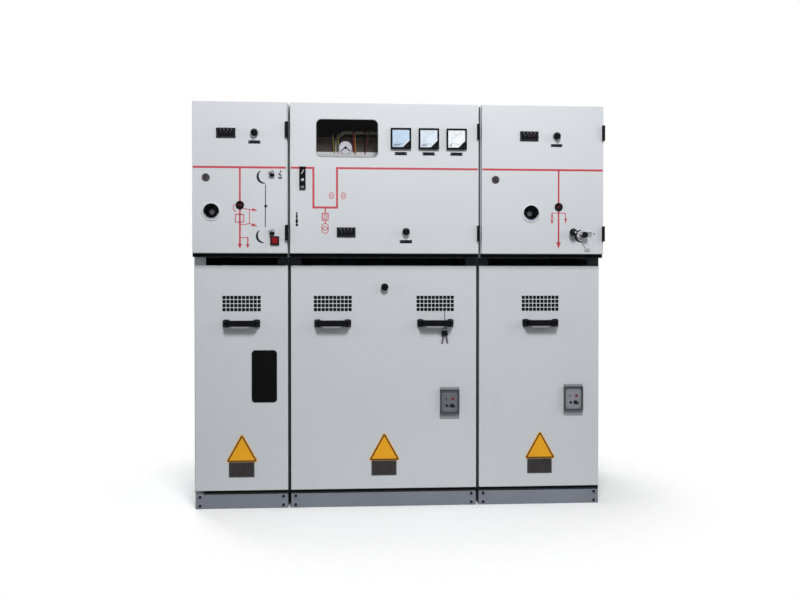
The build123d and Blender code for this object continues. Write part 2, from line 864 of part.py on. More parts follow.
with BuildPart() as wiring_loom:
    wire_y = inner_back - wire_stand_off
    box_ceiling = box_top - sheet
    for offset in wires_from_left:
        with BuildSketch(Plane.XY.offset(shelf_height)):
            with Locations((left + offset, wire_y)):
                Circle(wire_diameter / 2)
        extrude(amount=box_ceiling - shelf_height)
keep(wiring_loom.part, "wiring_loom")

with BuildPart() as wiring_conduit:
    conduit_y = inner_back - conduit_stand_off
    with BuildLine() as conduit_line:
        FilletPolyline(
            (left + conduit_foot_from_left, conduit_y, shelf_height),
            (left + conduit_foot_from_left, conduit_y, shelf_height + conduit_bend_rise),
            (left + conduit_bend_from_left, conduit_y, shelf_height + conduit_run_rise),
            (left + conduit_end_from_left, conduit_y, shelf_height + conduit_run_rise),
            (left + conduit_end_from_left, conduit_y, box_ceiling),
            radius=conduit_bend_radius,
        )
    with BuildSketch(Plane(origin=conduit_line.line @ 0, z_dir=conduit_line.line % 0)):
        Circle(conduit_diameter / 2)
    sweep()
keep(wiring_conduit.part, "wiring_conduit")

# Lower doors, which hang on hooks and lift off
handle_places = {
    "left": [lower_place("left", left_handle_from_left, handle_drop)],
    "centre": [
        lower_place("centre", centre_bay_width / 2 - wide_door_handle_offset, handle_drop),
        lower_place("centre", centre_bay_width / 2 + wide_door_handle_offset, handle_drop),
    ],
    "right": [lower_place("right", right_handle_from_left, handle_drop)],
}
inspection_place = lower_place("left", inspection_from_left, inspection_drop)
door_knob_place = lower_place("centre", door_knob_from_left, door_knob_drop)
interlock_places = {
    "centre": lower_place("centre", centre_interlock_from_left, centre_interlock_drop),
    "right": lower_place("right", right_interlock_from_left, right_interlock_drop),
}


def add_hooks(left, right):
    """Hooks on the inside of a lower door, two on each side."""
    lip_front = flange_front_y + sheet + sheet
    lip_back = lip_front + hook_thickness
    for edge, inward in ((left, 1), (right, -1)):
        middle = edge + inward * hook_inset
        for level in hook_levels():
            with BuildSketch(Plane.YZ.offset(middle - hook_thickness / 2)) as outline:
                with BuildLine():
                    Polyline(
                        (lower_face_y + sheet, level),
                        (lip_front, level),
                        (lip_front, level - hook_lip_length),
                        (lip_back, level - hook_lip_length),
                        (lip_back, level + hook_arm_height),
                        (lower_face_y + sheet, level + hook_arm_height),
                        close=True,
                    )
                make_face()
            extrude(outline.sketch, amount=hook_thickness)


for bay, (left, right) in bays.items():
    with BuildPart() as cable_door:
        add(folded_pan((left + door_gap / 2, right - door_gap / 2), lower_door_z, lower_face_y))
        add_hooks(left, right)
        with BuildSketch(front_plane(lower_face_y)) as vents:
            for place in handle_places[bay]:
                with Locations((place[0], lower_door_z[1] - vent_drop)):
                    with GridLocations(vent_pitch_across, vent_pitch_up, vent_columns, vent_rows):
                        RectangleRounded(vent_hole, vent_hole, vent_hole_corner)
        extrude(vents.sketch, amount=-sheet, mode=Mode.SUBTRACT)
        if bay == "left":
            front_pad(inspection_place, (inspection_width, inspection_height), lower_face_y, sheet,
                      Mode.SUBTRACT, corner=inspection_corner)
    keep(cable_door.part, f"{bay}_cable_door")


def bridge_handle(place):
    """Bow handle on two feet, each with a recess for its screw."""
    half = handle_length / 2
    lean = handle_foot / 2
    bow_back = -handle_reach + handle_section
    base = Plane(origin=(place[0], lower_face_y, place[1] - handle_height / 2))
    with BuildPart() as handle:
        with BuildSketch(base):
            with BuildLine():
                outer = FilletPolyline(
                    (-half, 0),
                    (-half + lean, -handle_reach),
                    (half - lean, -handle_reach),
                    (half, 0),
                    radius=handle_section,
                )
                Line(outer @ 1, (half - handle_foot, 0))
                inner = FilletPolyline(
                    (half - handle_foot, 0),
                    (half - handle_foot - lean, bow_back),
                    (-half + handle_foot + lean, bow_back),
                    (-half + handle_foot, 0),
                    radius=handle_edge_radius,
                )
                Line(inner @ 1, outer @ 0)
            make_face()
        extrude(amount=handle_height)
        ends = handle.faces().sort_by(Axis.Z)
        rims = ends[0].edges() + ends[-1].edges()
        fillet(rims.filter_by(lambda rim: rim.center().Y < lower_face_y - handle_rounding), handle_rounding)
        for side in (-1, 1):
            foot = (place[0] + side * (half - lean), place[1])
            front_pad(foot, (handle_foot, handle_foot_height), lower_face_y - handle_foot_thickness,
                      handle_foot_thickness, corner=handle_foot_corner)
            front_disc(foot, lower_face_y - handle_reach, handle_screw_recess,
                       handle_reach - handle_screw_floor, Mode.SUBTRACT)
            front_disc(foot, lower_face_y - handle_screw_floor, handle_screw_bore,
                       handle_screw_floor, Mode.SUBTRACT)
    return handle.part


for bay, places in handle_places.items():
    with BuildPart() as handles:
        for place in places:
            add(bridge_handle(place))
    keep(handles.part, f"{bay}_door_handle" if len(places) == 1 else f"{bay}_door_handles")

with BuildPart() as inspection_glass:
    front_pad(inspection_place,
              (inspection_width + 2 * glass_overlap, inspection_height + 2 * glass_overlap),
              lower_face_y + sheet, glass_thickness, corner=inspection_corner)
keep(inspection_glass.part, "left_inspection_glass")

with BuildPart() as door_knob:
    with BuildSketch(Plane.YZ) as profile:
        with BuildLine():
            Polyline(
                (0, 0),
                (0, door_knob_neck / 2),
                (-door_knob_neck_length, door_knob_neck / 2),
                (-door_knob_neck_length - door_knob_flare, door_knob_diameter / 2),
                (-door_knob_height + door_knob_rounding, door_knob_diameter / 2),
                (-door_knob_height, door_knob_diameter / 2 - door_knob_rounding),
                (-door_knob_height, 0),
                close=True,
            )
        make_face()
    revolve(profile.sketch, axis=Axis.Y)
knob_part = door_knob.part.moved(Location((door_knob_place[0], lower_face_y, door_knob_place[1])))
keep(knob_part, "centre_door_knob")

for bay, place in interlock_places.items():
    with BuildPart() as interlock:
        front_pad(place, (interlock_plate_width, interlock_plate_height), lower_face_y - sheet, sheet)
        housing_top = place[1] + interlock_plate_height / 2 - interlock_top_margin
        housing_place = (place[0], housing_top - interlock_housing_height / 2)
        housing = (interlock_plate_width, interlock_housing_height)
        front_pad(housing_place, housing, lower_face_y - interlock_proud, interlock_proud)
        sunk = (housing[0] - 2 * interlock_rim, housing[1] - 2 * interlock_rim)
        front_pad(housing_place, sunk, lower_face_y - interlock_proud, interlock_recess, Mode.SUBTRACT)
    keep(interlock.part, f"{bay}_interlock")

# Keys on a wire hanger that hooks into a ventilation hole
hanger_x = handle_places["centre"][1][0] + (key_hanger_vents_from_middle - 0.5) * vent_pitch_across
lowest_vent = lower_door_z[1] - vent_drop - (vent_rows - 1) / 2 * vent_pitch_up
hanger_top = lowest_vent - vent_hole / 2 + key_hanger_wire / 2 + seat_gap
ring_z = hanger_top - key_hanger_length - key_ring_radius
hanger_y = lower_face_y - key_hanger_stand_off
with BuildPart() as door_keys:
    with BuildLine() as hanger_line:
        FilletPolyline(
            (hanger_x, lower_face_y + key_hanger_stand_off, hanger_top),
            (hanger_x, hanger_y, hanger_top),
            (hanger_x, hanger_y, hanger_top - key_hanger_length),
            radius=key_hanger_wire,
        )
    with BuildSketch(Plane(origin=hanger_line.line @ 0, z_dir=hanger_line.line % 0)):
        Circle(key_hanger_wire / 2)
    sweep()
    with Locations(Location((hanger_x, hanger_y, ring_z), (90, 0, 0))):
        Torus(key_ring_radius, key_ring_wire / 2)
    for lean in (-key_lean, key_lean):
        hang = Plane(origin=(hanger_x, hanger_y, ring_z), x_dir=Vector(1, 0, 0).rotate(Axis.Y, lean),
                     z_dir=(0, -1, 0))
        with BuildSketch(hang):
            with Locations((0, -key_ring_radius - key_bow / 2 + key_ring_wire)):
                RectangleRounded(key_bow, key_bow, key_bow / 4)
            with Locations((0, -key_ring_radius - key_bow - key_blade_length / 2 + key_ring_wire)):
                Rectangle(key_blade_width, key_blade_length + key_ring_wire)
        extrude(amount=key_thickness / 2, both=True)
keep(door_keys.part, "door_keys")
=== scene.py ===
"""Finishes a packed air-insulated ring main unit: paint, panel markings, instruments, fixings and a studio.

Lengths in the code are millimetres in the frame of the solids, unless a property or comment says otherwise.
"""

import json
import math
import random

import bmesh
import bpy
from bpy.props import FloatProperty, FloatVectorProperty, IntProperty, PointerProperty
from mathutils import Matrix, Vector


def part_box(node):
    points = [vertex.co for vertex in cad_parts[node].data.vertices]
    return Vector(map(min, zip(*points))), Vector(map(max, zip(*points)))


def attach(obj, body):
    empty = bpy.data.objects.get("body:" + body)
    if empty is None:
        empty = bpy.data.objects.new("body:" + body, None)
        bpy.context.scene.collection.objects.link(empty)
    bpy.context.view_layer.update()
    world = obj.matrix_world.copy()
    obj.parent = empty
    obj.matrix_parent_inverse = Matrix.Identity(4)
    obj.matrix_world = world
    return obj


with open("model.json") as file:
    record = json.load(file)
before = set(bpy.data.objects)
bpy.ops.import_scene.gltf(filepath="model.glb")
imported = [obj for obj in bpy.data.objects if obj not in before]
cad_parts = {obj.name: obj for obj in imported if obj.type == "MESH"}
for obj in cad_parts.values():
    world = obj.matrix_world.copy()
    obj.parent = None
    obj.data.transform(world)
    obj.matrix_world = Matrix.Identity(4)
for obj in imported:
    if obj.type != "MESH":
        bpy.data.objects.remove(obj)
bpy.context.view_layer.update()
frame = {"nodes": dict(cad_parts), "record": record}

bl_info = {
    "name": "Ring main unit finish",
    "version": (1, 0, 0),
    "blender": (4, 2, 0),
    "location": "3D View > Sidebar > Ring main",
    "description": "Adds finishes, panel markings, instruments and fixings to a ring main unit",
    "category": "Object",
}

TO_METRES = 0.001
BAYS = ("left", "centre", "right")
UPPER_BODY = {bay: f"{bay}_upper_door" for bay in BAYS}
LOWER_BODY = {bay: f"{bay}_lower_door" for bay in BAYS}


def solid_box(node):
    """Lowest and highest corner of a solid, in millimetres."""
    low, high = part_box(node)
    return low / TO_METRES, high / TO_METRES


UPPER = {bay: solid_box(f"{bay}_instrument_door") for bay in BAYS}
LOWER = {bay: solid_box(f"{bay}_cable_door") for bay in BAYS}
UPPER_FACE = UPPER["left"][0].y
LOWER_FACE = LOWER["left"][0].y
# Sizes of the solids that the pieces fit
DOOR_INSET = 6.0
BOLT_ROWS = (13.0, 47.5)
LEVER_BALL = 31.0
LEVER_HUB = 24.0
SOCKETS = {"left": (78.5, 161.0), "right": (203.5, 161.0)}
SOCKET_BORE = 61.0
SOCKET_RIM = 74.0
PADLOCK_TABS = ((309.0, 306.0), (309.0, 80.0))
METER_WIDTH, METER_HEIGHT, METER_RIM = 80.0, 81.0, 6.5
METER_CUT, METER_RECESS = 26.0, 3.0
ROUND_LOCK = 30.0
INTERLOCK_HEAD, INTERLOCK_HOUSING = 9.0, 96.0
PANE_OVERLAP = 10.0
VENT_MIDDLES = {"left": (188.0,), "centre": (375.0 - 204.0, 375.0 + 204.0), "right": (253.5,)}
VENT_COLUMNS, VENT_ROWS, VENT_PITCH = 10, 4, (15.2, 16.0)
VENT_DROP, VENT_HOLE = 150.0, 12.0
HANDLE_LENGTH = 145.0
KEY_RING_RISE = 56.0
FLAP_MARGIN, FLAP_DEPTH = 60.0, 300.0
# Sizes of the pieces themselves
BUSBAR_RISE = 332.0
LINE_MARGIN = 3.0
METER_PRINT = 0.15
SCALE_REACH, SCALE_START, SCALE_END = 47.0, 172, 98
CHAIN_LINKS = 9
# Blank tags: middle from the bay's left edge and over the door's foot, width and height
TAGS = {
    "left": [(244.5, 430, 46, 12)],
    "centre": [(457, 47, 48, 12), (437, 391, 48, 12), (546.5, 391, 48, 12), (656, 391, 48, 12)],
    "right": [(305, 429, 46, 11)],
}


def upper_spot(bay, from_left, rise):
    """Place on an upper door, measured from its bay's left edge and from the door's foot."""
    return UPPER[bay][0].x - DOOR_INSET + from_left, UPPER[bay][0].z + rise


def lower_spot(bay, from_left, drop):
    """Place on a lower door, measured from its bay's left edge and from the door's head."""
    return LOWER[bay][0].x - DOOR_INSET + from_left, LOWER[bay][1].z - drop


def middle_of(node):
    """Middle of a solid in x and z."""
    low, high = solid_box(node)
    return (low.x + high.x) / 2, (low.z + high.z) / 2


# Values that a user would change


class PaintValues(bpy.types.PropertyGroup):
    enclosure: FloatVectorProperty(
        name="Enclosure", description="Powder coat of the cubicles", subtype="COLOR", size=3,
        default=(0.60, 0.625, 0.65))
    plinth: FloatVectorProperty(
        name="Plinth", description="Paint of the plinth channels", subtype="COLOR", size=3,
        default=(0.205, 0.225, 0.265))
    black: FloatVectorProperty(
        name="Black fittings", description="Handles, bezels and knobs", subtype="COLOR", size=3,
        default=(0.005, 0.005, 0.006))
    steel: FloatVectorProperty(
        name="Plated steel", description="Zinc plating of locks, sleeves and fixings", subtype="COLOR",
        size=3, default=(0.34, 0.34, 0.35))


class MarkingValues(bpy.types.PropertyGroup):
    mimic_red: FloatVectorProperty(
        name="Mimic red", description="Red of the single-line diagram", subtype="COLOR", size=3,
        default=(0.47, 0.040, 0.065))
    mimic_width: FloatProperty(
        name="Busbar line", description="Width of the thick mimic lines, in millimetres", default=8.0)
    branch_width: FloatProperty(
        name="Branch line", description="Width of the branch lines, in millimetres", default=6.5)
    thin_width: FloatProperty(
        name="Thin line", description="Width of the thin mimic lines, in millimetres", default=2.8)
    film: FloatProperty(
        name="Film", description="Thickness of printed marks, in millimetres", default=0.25)
    print_grey: FloatVectorProperty(
        name="Dark print", description="Colour of the dark printed marks", subtype="COLOR", size=3,
        default=(0.012, 0.012, 0.016))
    sign_amber: FloatVectorProperty(
        name="Sign amber", description="Ground of the blank triangular plates", subtype="COLOR", size=3,
        default=(0.84, 0.39, 0.016))


class InstrumentValues(bpy.types.PropertyGroup):
    dial: FloatVectorProperty(
        name="Dial", description="Ground of the meter dials", subtype="COLOR", size=3,
        default=(0.50, 0.64, 0.78))
    needle_angle: FloatProperty(
        name="Needle", description="Angle of the meter needles above their zero", subtype="ANGLE",
        default=0.06)
    scale_marks: IntProperty(
        name="Scale marks", description="Divisions of each meter scale", default=20)


class FixingValues(bpy.types.PropertyGroup):
    plinth_bolt: FloatProperty(
        name="Plinth bolt", description="Width across flats of the plinth bolts, in millimetres",
        default=11.0)
    cover_screw: FloatProperty(
        name="Cover screw", description="Head diameter of the cover screws, in millimetres", default=9.0)


class StudioValues(bpy.types.PropertyGroup):
    focal_length: FloatProperty(
        name="Lens", description="Focal length on a 36 mm sensor, in millimetres", default=41.26)
    lamp_power: FloatProperty(
        name="Lamp", description="Power of the front lamp", subtype="POWER", default=106.0)
    world_level: FloatProperty(
        name="World", description="Strength of the surrounding light", default=0.15)
    floor: FloatVectorProperty(
        name="Floor", description="Colour of the floor", subtype="COLOR", size=3,
        default=(0.97, 0.97, 0.97))
    floor_bounce: FloatProperty(
        name="Floor bounce", description="Share of light that the floor throws back at the unit",
        default=0.60)
    floor_fade: FloatProperty(
        name="Floor fade", description="Where the floor begins to fade, in metres", default=0.7)
    floor_end: FloatProperty(
        name="Floor end", description="Where the floor has faded out, in metres", default=1.4)


def values(group):
    """Property group of the scene by its short name."""
    return getattr(bpy.context.scene, f"unit_{group}")


# Finishes

FINISHES = {}
WIRE_COLOURS = {"olive": (0.33, 0.29, 0.04), "red": (0.36, 0.012, 0.018), "maroon": (0.11, 0.012, 0.016)}


def new_material(name):
    material = bpy.data.materials.new(name)
    material.use_nodes = True
    nodes = material.node_tree.nodes
    return material, nodes, material.node_tree.links, nodes["Principled BSDF"]


def noise(nodes, links, place, scale, detail):
    """Noise at a place, as a value between 0 and 1."""
    texture = nodes.new("ShaderNodeTexNoise")
    texture.inputs["Scale"].default_value = scale
    texture.inputs["Detail"].default_value = detail
    links.new(place, texture.inputs["Vector"])
    return texture.outputs["Fac"]


def remap(nodes, links, value, to_range, from_range=(0.0, 1.0)):
    """Value moved from one range to another."""
    node = nodes.new("ShaderNodeMapRange")
    for name, limit in zip(("From Min", "From Max", "To Min", "To Max"), (*from_range, *to_range)):
        node.inputs[name].default_value = limit
    links.new(value, node.inputs["Value"])
    return node.outputs["Result"]


def two_tones(nodes, links, value, dark, light, start=0.0, end=1.0):
    """Blend from a dark colour to a light one."""
    node = nodes.new("ShaderNodeValToRGB")
    low, high = node.color_ramp.elements
    low.position, high.position = start, end
    low.color, high.color = (*dark, 1), (*light, 1)
    links.new(value, node.inputs["Fac"])
    return node.outputs["Color"]


def surface(name, colour, roughness, metallic=0.0, variation=0.05, patch=3.0, grain=900.0,
            bump=0.05, spread=0.08, stretch=(1, 1, 1), dirt=None, specular=0.5):
    """A finish with patchy tone, uneven gloss and a fine grain; dirt is a colour that settles in patches."""
    if name in FINISHES:
        return FINISHES[name]
    material, nodes, links, shader = new_material(name)
    place = nodes.new("ShaderNodeTexCoord").outputs["Object"]
    mapping = nodes.new("ShaderNodeMapping")
    mapping.inputs["Scale"].default_value = stretch
    links.new(place, mapping.inputs["Vector"])
    stretched = mapping.outputs["Vector"]

    tone = noise(nodes, links, stretched, patch, 5.0)
    dark = [c * (1 - variation) for c in colour]
    light = [min(1, c * (1 + variation * 0.6)) for c in colour]
    result = two_tones(nodes, links, tone, dark, light, 0.3, 0.7)
    if dirt is not None:
        smudge = noise(nodes, links, place, patch * 6, 8.0)
        blend = nodes.new("ShaderNodeMix")
        blend.data_type = "RGBA"
        links.new(remap(nodes, links, smudge, (0.0, 0.35), (0.62, 0.85)), blend.inputs[0])
        links.new(result, blend.inputs[6])
        blend.inputs[7].default_value = (*dirt, 1)
        result = blend.outputs[2]
    links.new(result, shader.inputs["Base Color"])

    gloss = noise(nodes, links, stretched, patch * 9, 3.0)
    limits = (max(0.02, roughness - spread), min(1.0, roughness + spread))
    links.new(remap(nodes, links, gloss, limits), shader.inputs["Roughness"])

    relief = nodes.new("ShaderNodeBump")
    relief.inputs["Strength"].default_value = bump
    relief.inputs["Distance"].default_value = 0.0004
    links.new(noise(nodes, links, stretched, grain, 2.0), relief.inputs["Height"])
    links.new(relief.outputs["Normal"], shader.inputs["Normal"])
    shader.inputs["Metallic"].default_value = metallic
    shader.inputs["Specular IOR Level"].default_value = specular
    FINISHES[name] = material
    return material


def glazing(name, colour, alpha, roughness=0.04, specular=0.35):
    """Clear or smoked sheet, seen through by its alpha, with faint smears in its gloss."""
    if name in FINISHES:
        return FINISHES[name]
    material, nodes, links, shader = new_material(name)
    shader.inputs["Base Color"].default_value = (*colour, 1)
    shader.inputs["Alpha"].default_value = alpha
    shader.inputs["Specular IOR Level"].default_value = specular
    place = nodes.new("ShaderNodeTexCoord").outputs["Object"]
    smear = noise(nodes, links, place, 14.0, 4.0)
    links.new(remap(nodes, links, smear, (roughness, roughness + 0.1)), shader.inputs["Roughness"])
    FINISHES[name] = material
    return material


def window_glazing():
    return glazing("window_glazing", (0.02, 0.02, 0.02), 0.10, specular=0.1)


# Near-opaque black pane: painted shade of the dark compartment behind it
def inspection_glazing():
    return glazing("inspection_glazing", (0.002, 0.002, 0.002), 0.97, 0.10, specular=0.06)


def cover_glazing():
    return glazing("cover_glazing", (0.55, 0.66, 0.76), 0.06, 0.03, specular=0.3)


def lens_glazing():
    return glazing("lens_glazing", (0.02, 0.02, 0.02), 0.05, 0.06, specular=0.1)


def enclosure_paint():
    return surface("enclosure_paint", values("paint").enclosure, 0.42, variation=0.03, patch=1.6,
                   grain=1400.0, bump=0.10, spread=0.06, dirt=(0.50, 0.51, 0.52), specular=0.3)


def roof_paint():
    return surface("roof_paint", values("paint").enclosure, 0.88, variation=0.04, patch=1.6,
                   grain=1400.0, bump=0.10, spread=0.05, dirt=(0.42, 0.43, 0.44), specular=0.0)


def inner_paint():
    return surface("inner_paint", (0.16, 0.16, 0.165), 0.5, variation=0.06, patch=2.0, grain=1200.0)


# Near-black paint that stands in for shade: painted shade on the posts, in the socket bores and behind the
# vents
def painted_shade():
    return surface("painted_shade", (0.030, 0.031, 0.034), 0.55, variation=0.2, patch=6.0, grain=1300.0,
                   bump=0.1, specular=0.15)


def plinth_paint():
    return surface("plinth_paint", values("paint").plinth, 0.48, variation=0.09, patch=4.0,
                   grain=1100.0, bump=0.12, dirt=(0.13, 0.14, 0.16), specular=0.3)


def black_plastic():
    return surface("black_plastic", values("paint").black, 0.38, variation=0.25, patch=12.0,
                   grain=2600.0, bump=0.12, specular=0.05)


def black_paint():
    return surface("black_paint", (0.005, 0.005, 0.006), 0.38, variation=0.25, patch=9.0,
                   grain=1500.0, bump=0.08, specular=0.05)


def glossy_black():
    return surface("glossy_black", (0.004, 0.004, 0.005), 0.20, variation=0.2, patch=9.0,
                   grain=700.0, bump=0.02, spread=0.05, specular=0.12)


def plated_steel():
    return surface("plated_steel", values("paint").steel, 0.40, metallic=1.0, variation=0.16,
                   patch=20.0, grain=1800.0, spread=0.1)


def brushed_steel():
    return surface("brushed_steel", (0.30, 0.30, 0.32), 0.42, metallic=1.0, variation=0.14, patch=25.0,
                   grain=240.0, bump=0.10, stretch=(1, 1, 22))


def dark_steel():
    return surface("dark_steel", (0.075, 0.075, 0.085), 0.46, metallic=0.8, variation=0.2, patch=30.0,
                   bump=0.08)


def worn_steel():
    return surface("worn_steel", (0.060, 0.055, 0.060), 0.42, metallic=0.7, variation=0.5, patch=70.0,
                   bump=0.10, spread=0.14, dirt=(0.20, 0.19, 0.20), specular=0.3)


def key_steel():
    return surface("key_steel", (0.115, 0.10, 0.125), 0.42, metallic=0.6, variation=0.3, patch=60.0,
                   bump=0.10, specular=0.3)


def chain_metal():
    return surface("chain_metal", (0.36, 0.35, 0.345), 0.5, metallic=0.3, variation=0.25, patch=80.0,
                   bump=0.10)


def bolt_black():
    return surface("bolt_black", (0.016, 0.016, 0.026), 0.4, variation=0.3, patch=60.0, bump=0.1,
                   specular=0.1)


def grey_plate():
    return surface("grey_plate", (0.28, 0.285, 0.325), 0.42, metallic=0.1, variation=0.08, patch=18.0,
                   bump=0.06, stretch=(9, 1, 1))


def rubber():
    return surface("rubber", (0.006, 0.006, 0.006), 0.72, variation=0.2, patch=18.0, grain=1500.0,
                   bump=0.2, specular=0.06)


def seam_rubber():
    return surface("seam_rubber", (0.085, 0.083, 0.10), 0.65, variation=0.14, patch=5.0, grain=1500.0,
                   bump=0.15, specular=0.2)


def trim_rubber():
    return surface("trim_rubber", (0.20, 0.205, 0.215), 0.6, variation=0.08, patch=18.0, grain=1500.0,
                   bump=0.15, specular=0.2)


def printed(name, colour, roughness=0.5, variation=0.1, bump=0.05, specular=0.5):
    """Printed ink; all of them share one grain."""
    return surface(name, colour, roughness, variation=variation, patch=14.0, grain=1700.0, bump=bump,
                   specular=specular)


def mimic_print():
    return printed("mimic_print", values("marking").mimic_red, 0.40, variation=0.07)


def dark_print():
    return printed("dark_print", values("marking").print_grey, 0.45, variation=0.2, specular=0.2)


def faint_print():
    return printed("faint_print", (0.36, 0.44, 0.52), bump=0.03)


def grey_print():
    return printed("grey_print", (0.30, 0.31, 0.32), variation=0.12)


def white_print():
    return printed("white_print", (0.78, 0.79, 0.8), variation=0.05)


def worn_print():
    return surface("worn_print", (0.10, 0.10, 0.13), 0.5, variation=0.3, patch=60.0, grain=1700.0,
                   specular=0.2)


def tag_laminate():
    return surface("tag_laminate", (0.009, 0.008, 0.013), 0.36, variation=0.3, patch=22.0,
                   grain=2200.0, bump=0.06, specular=0.08)


def red_plastic():
    return surface("red_plastic", (0.24, 0.005, 0.010), 0.26, variation=0.2, patch=60.0, grain=1200.0,
                   specular=0.15)


def dark_red():
    return surface("dark_red", (0.15, 0.008, 0.014), 0.4, variation=0.1, patch=20.0, grain=1200.0,
                   specular=0.2)


def amber_film():
    return surface("amber_film", values("marking").sign_amber, 0.42, variation=0.06, patch=8.0,
                   grain=1500.0, bump=0.06, specular=0.25)


def brown_film():
    return surface("brown_film", (0.060, 0.022, 0.010), 0.4, variation=0.15, patch=8.0, grain=1500.0,
                   bump=0.06, specular=0.2)


def etched_plate():
    return surface("etched_plate", (0.040, 0.037, 0.037), 0.5, metallic=0.1, variation=0.30,
                   patch=30.0, grain=1300.0, bump=0.14, spread=0.12, stretch=(5, 1, 1),
                   dirt=(0.10, 0.10, 0.10), specular=0.12)


def plate_rim():
    return surface("plate_rim", (0.070, 0.073, 0.075), 0.5, variation=0.3, patch=30.0, grain=1300.0,
                   bump=0.1, specular=0.12)


# Dark rim round each vent hole: painted shade at the edges of the holes
def vent_edge_shade():
    return surface("vent_edge_shade", (0.085, 0.078, 0.10), 0.6, variation=0.3, patch=30.0, grain=1300.0,
                   bump=0.1, specular=0.1)


def dial_card(shade):
    """Card of a meter; shade is how far it is lighter than the first one."""
    colour = [c + (0.93 - c) * shade for c in values("instrument").dial]
    return surface(f"dial_card_{round(shade * 10)}", colour, 0.5, variation=0.10, patch=16.0,
                   grain=1500.0, bump=0.03)


def lilac_card():
    return surface("lilac_card", (0.80, 0.78, 0.90), 0.45, patch=20.0, grain=1500.0, bump=0.03)


def cream_plastic():
    return surface("cream_plastic", (0.72, 0.72, 0.68), 0.4, patch=12.0, grain=1500.0, bump=0.06)


def lamp_lens():
    return surface("lamp_lens", (0.020, 0.011, 0.012), 0.2, variation=0.2, patch=40.0, bump=0.1,
                   specular=0.3)


# Pale lilac: painted highlight of the lit lower wall inside each socket
def liner_painted_light():
    return surface("liner_painted_light", (0.27, 0.255, 0.33), 0.45, variation=0.12, patch=30.0, grain=1500.0,
                   bump=0.06, specular=0.3)


def interlock_grey():
    return surface("interlock_grey", (0.055, 0.055, 0.064), 0.42, variation=0.14, patch=16.0,
                   grain=1600.0, bump=0.12, specular=0.25)


def interlock_face(bay):
    colour = (0.135, 0.14, 0.155) if bay == "centre" else (0.23, 0.24, 0.27)
    return surface(f"interlock_face_{bay}", colour, 0.42, metallic=0.2, variation=0.12, patch=22.0,
                   bump=0.08, stretch=(1, 1, 9), specular=0.3)


def mounting_board():
    return surface("mounting_board", (0.115, 0.092, 0.075), 0.6, variation=0.16, patch=8.0, bump=0.1)


def pale_shelf():
    return surface("pale_shelf", (0.74, 0.74, 0.76), 0.35, variation=0.06, patch=9.0, grain=1200.0)


def grey_conduit():
    return surface("grey_conduit", (0.43, 0.41, 0.385), 0.5, variation=0.12, patch=20.0, grain=500.0,
                   bump=0.25)


def wire_colour(name):
    return surface(f"wire_{name}", WIRE_COLOURS[name], 0.4, variation=0.12, patch=40.0, grain=1500.0,
                   bump=0.08)


# Mesh making


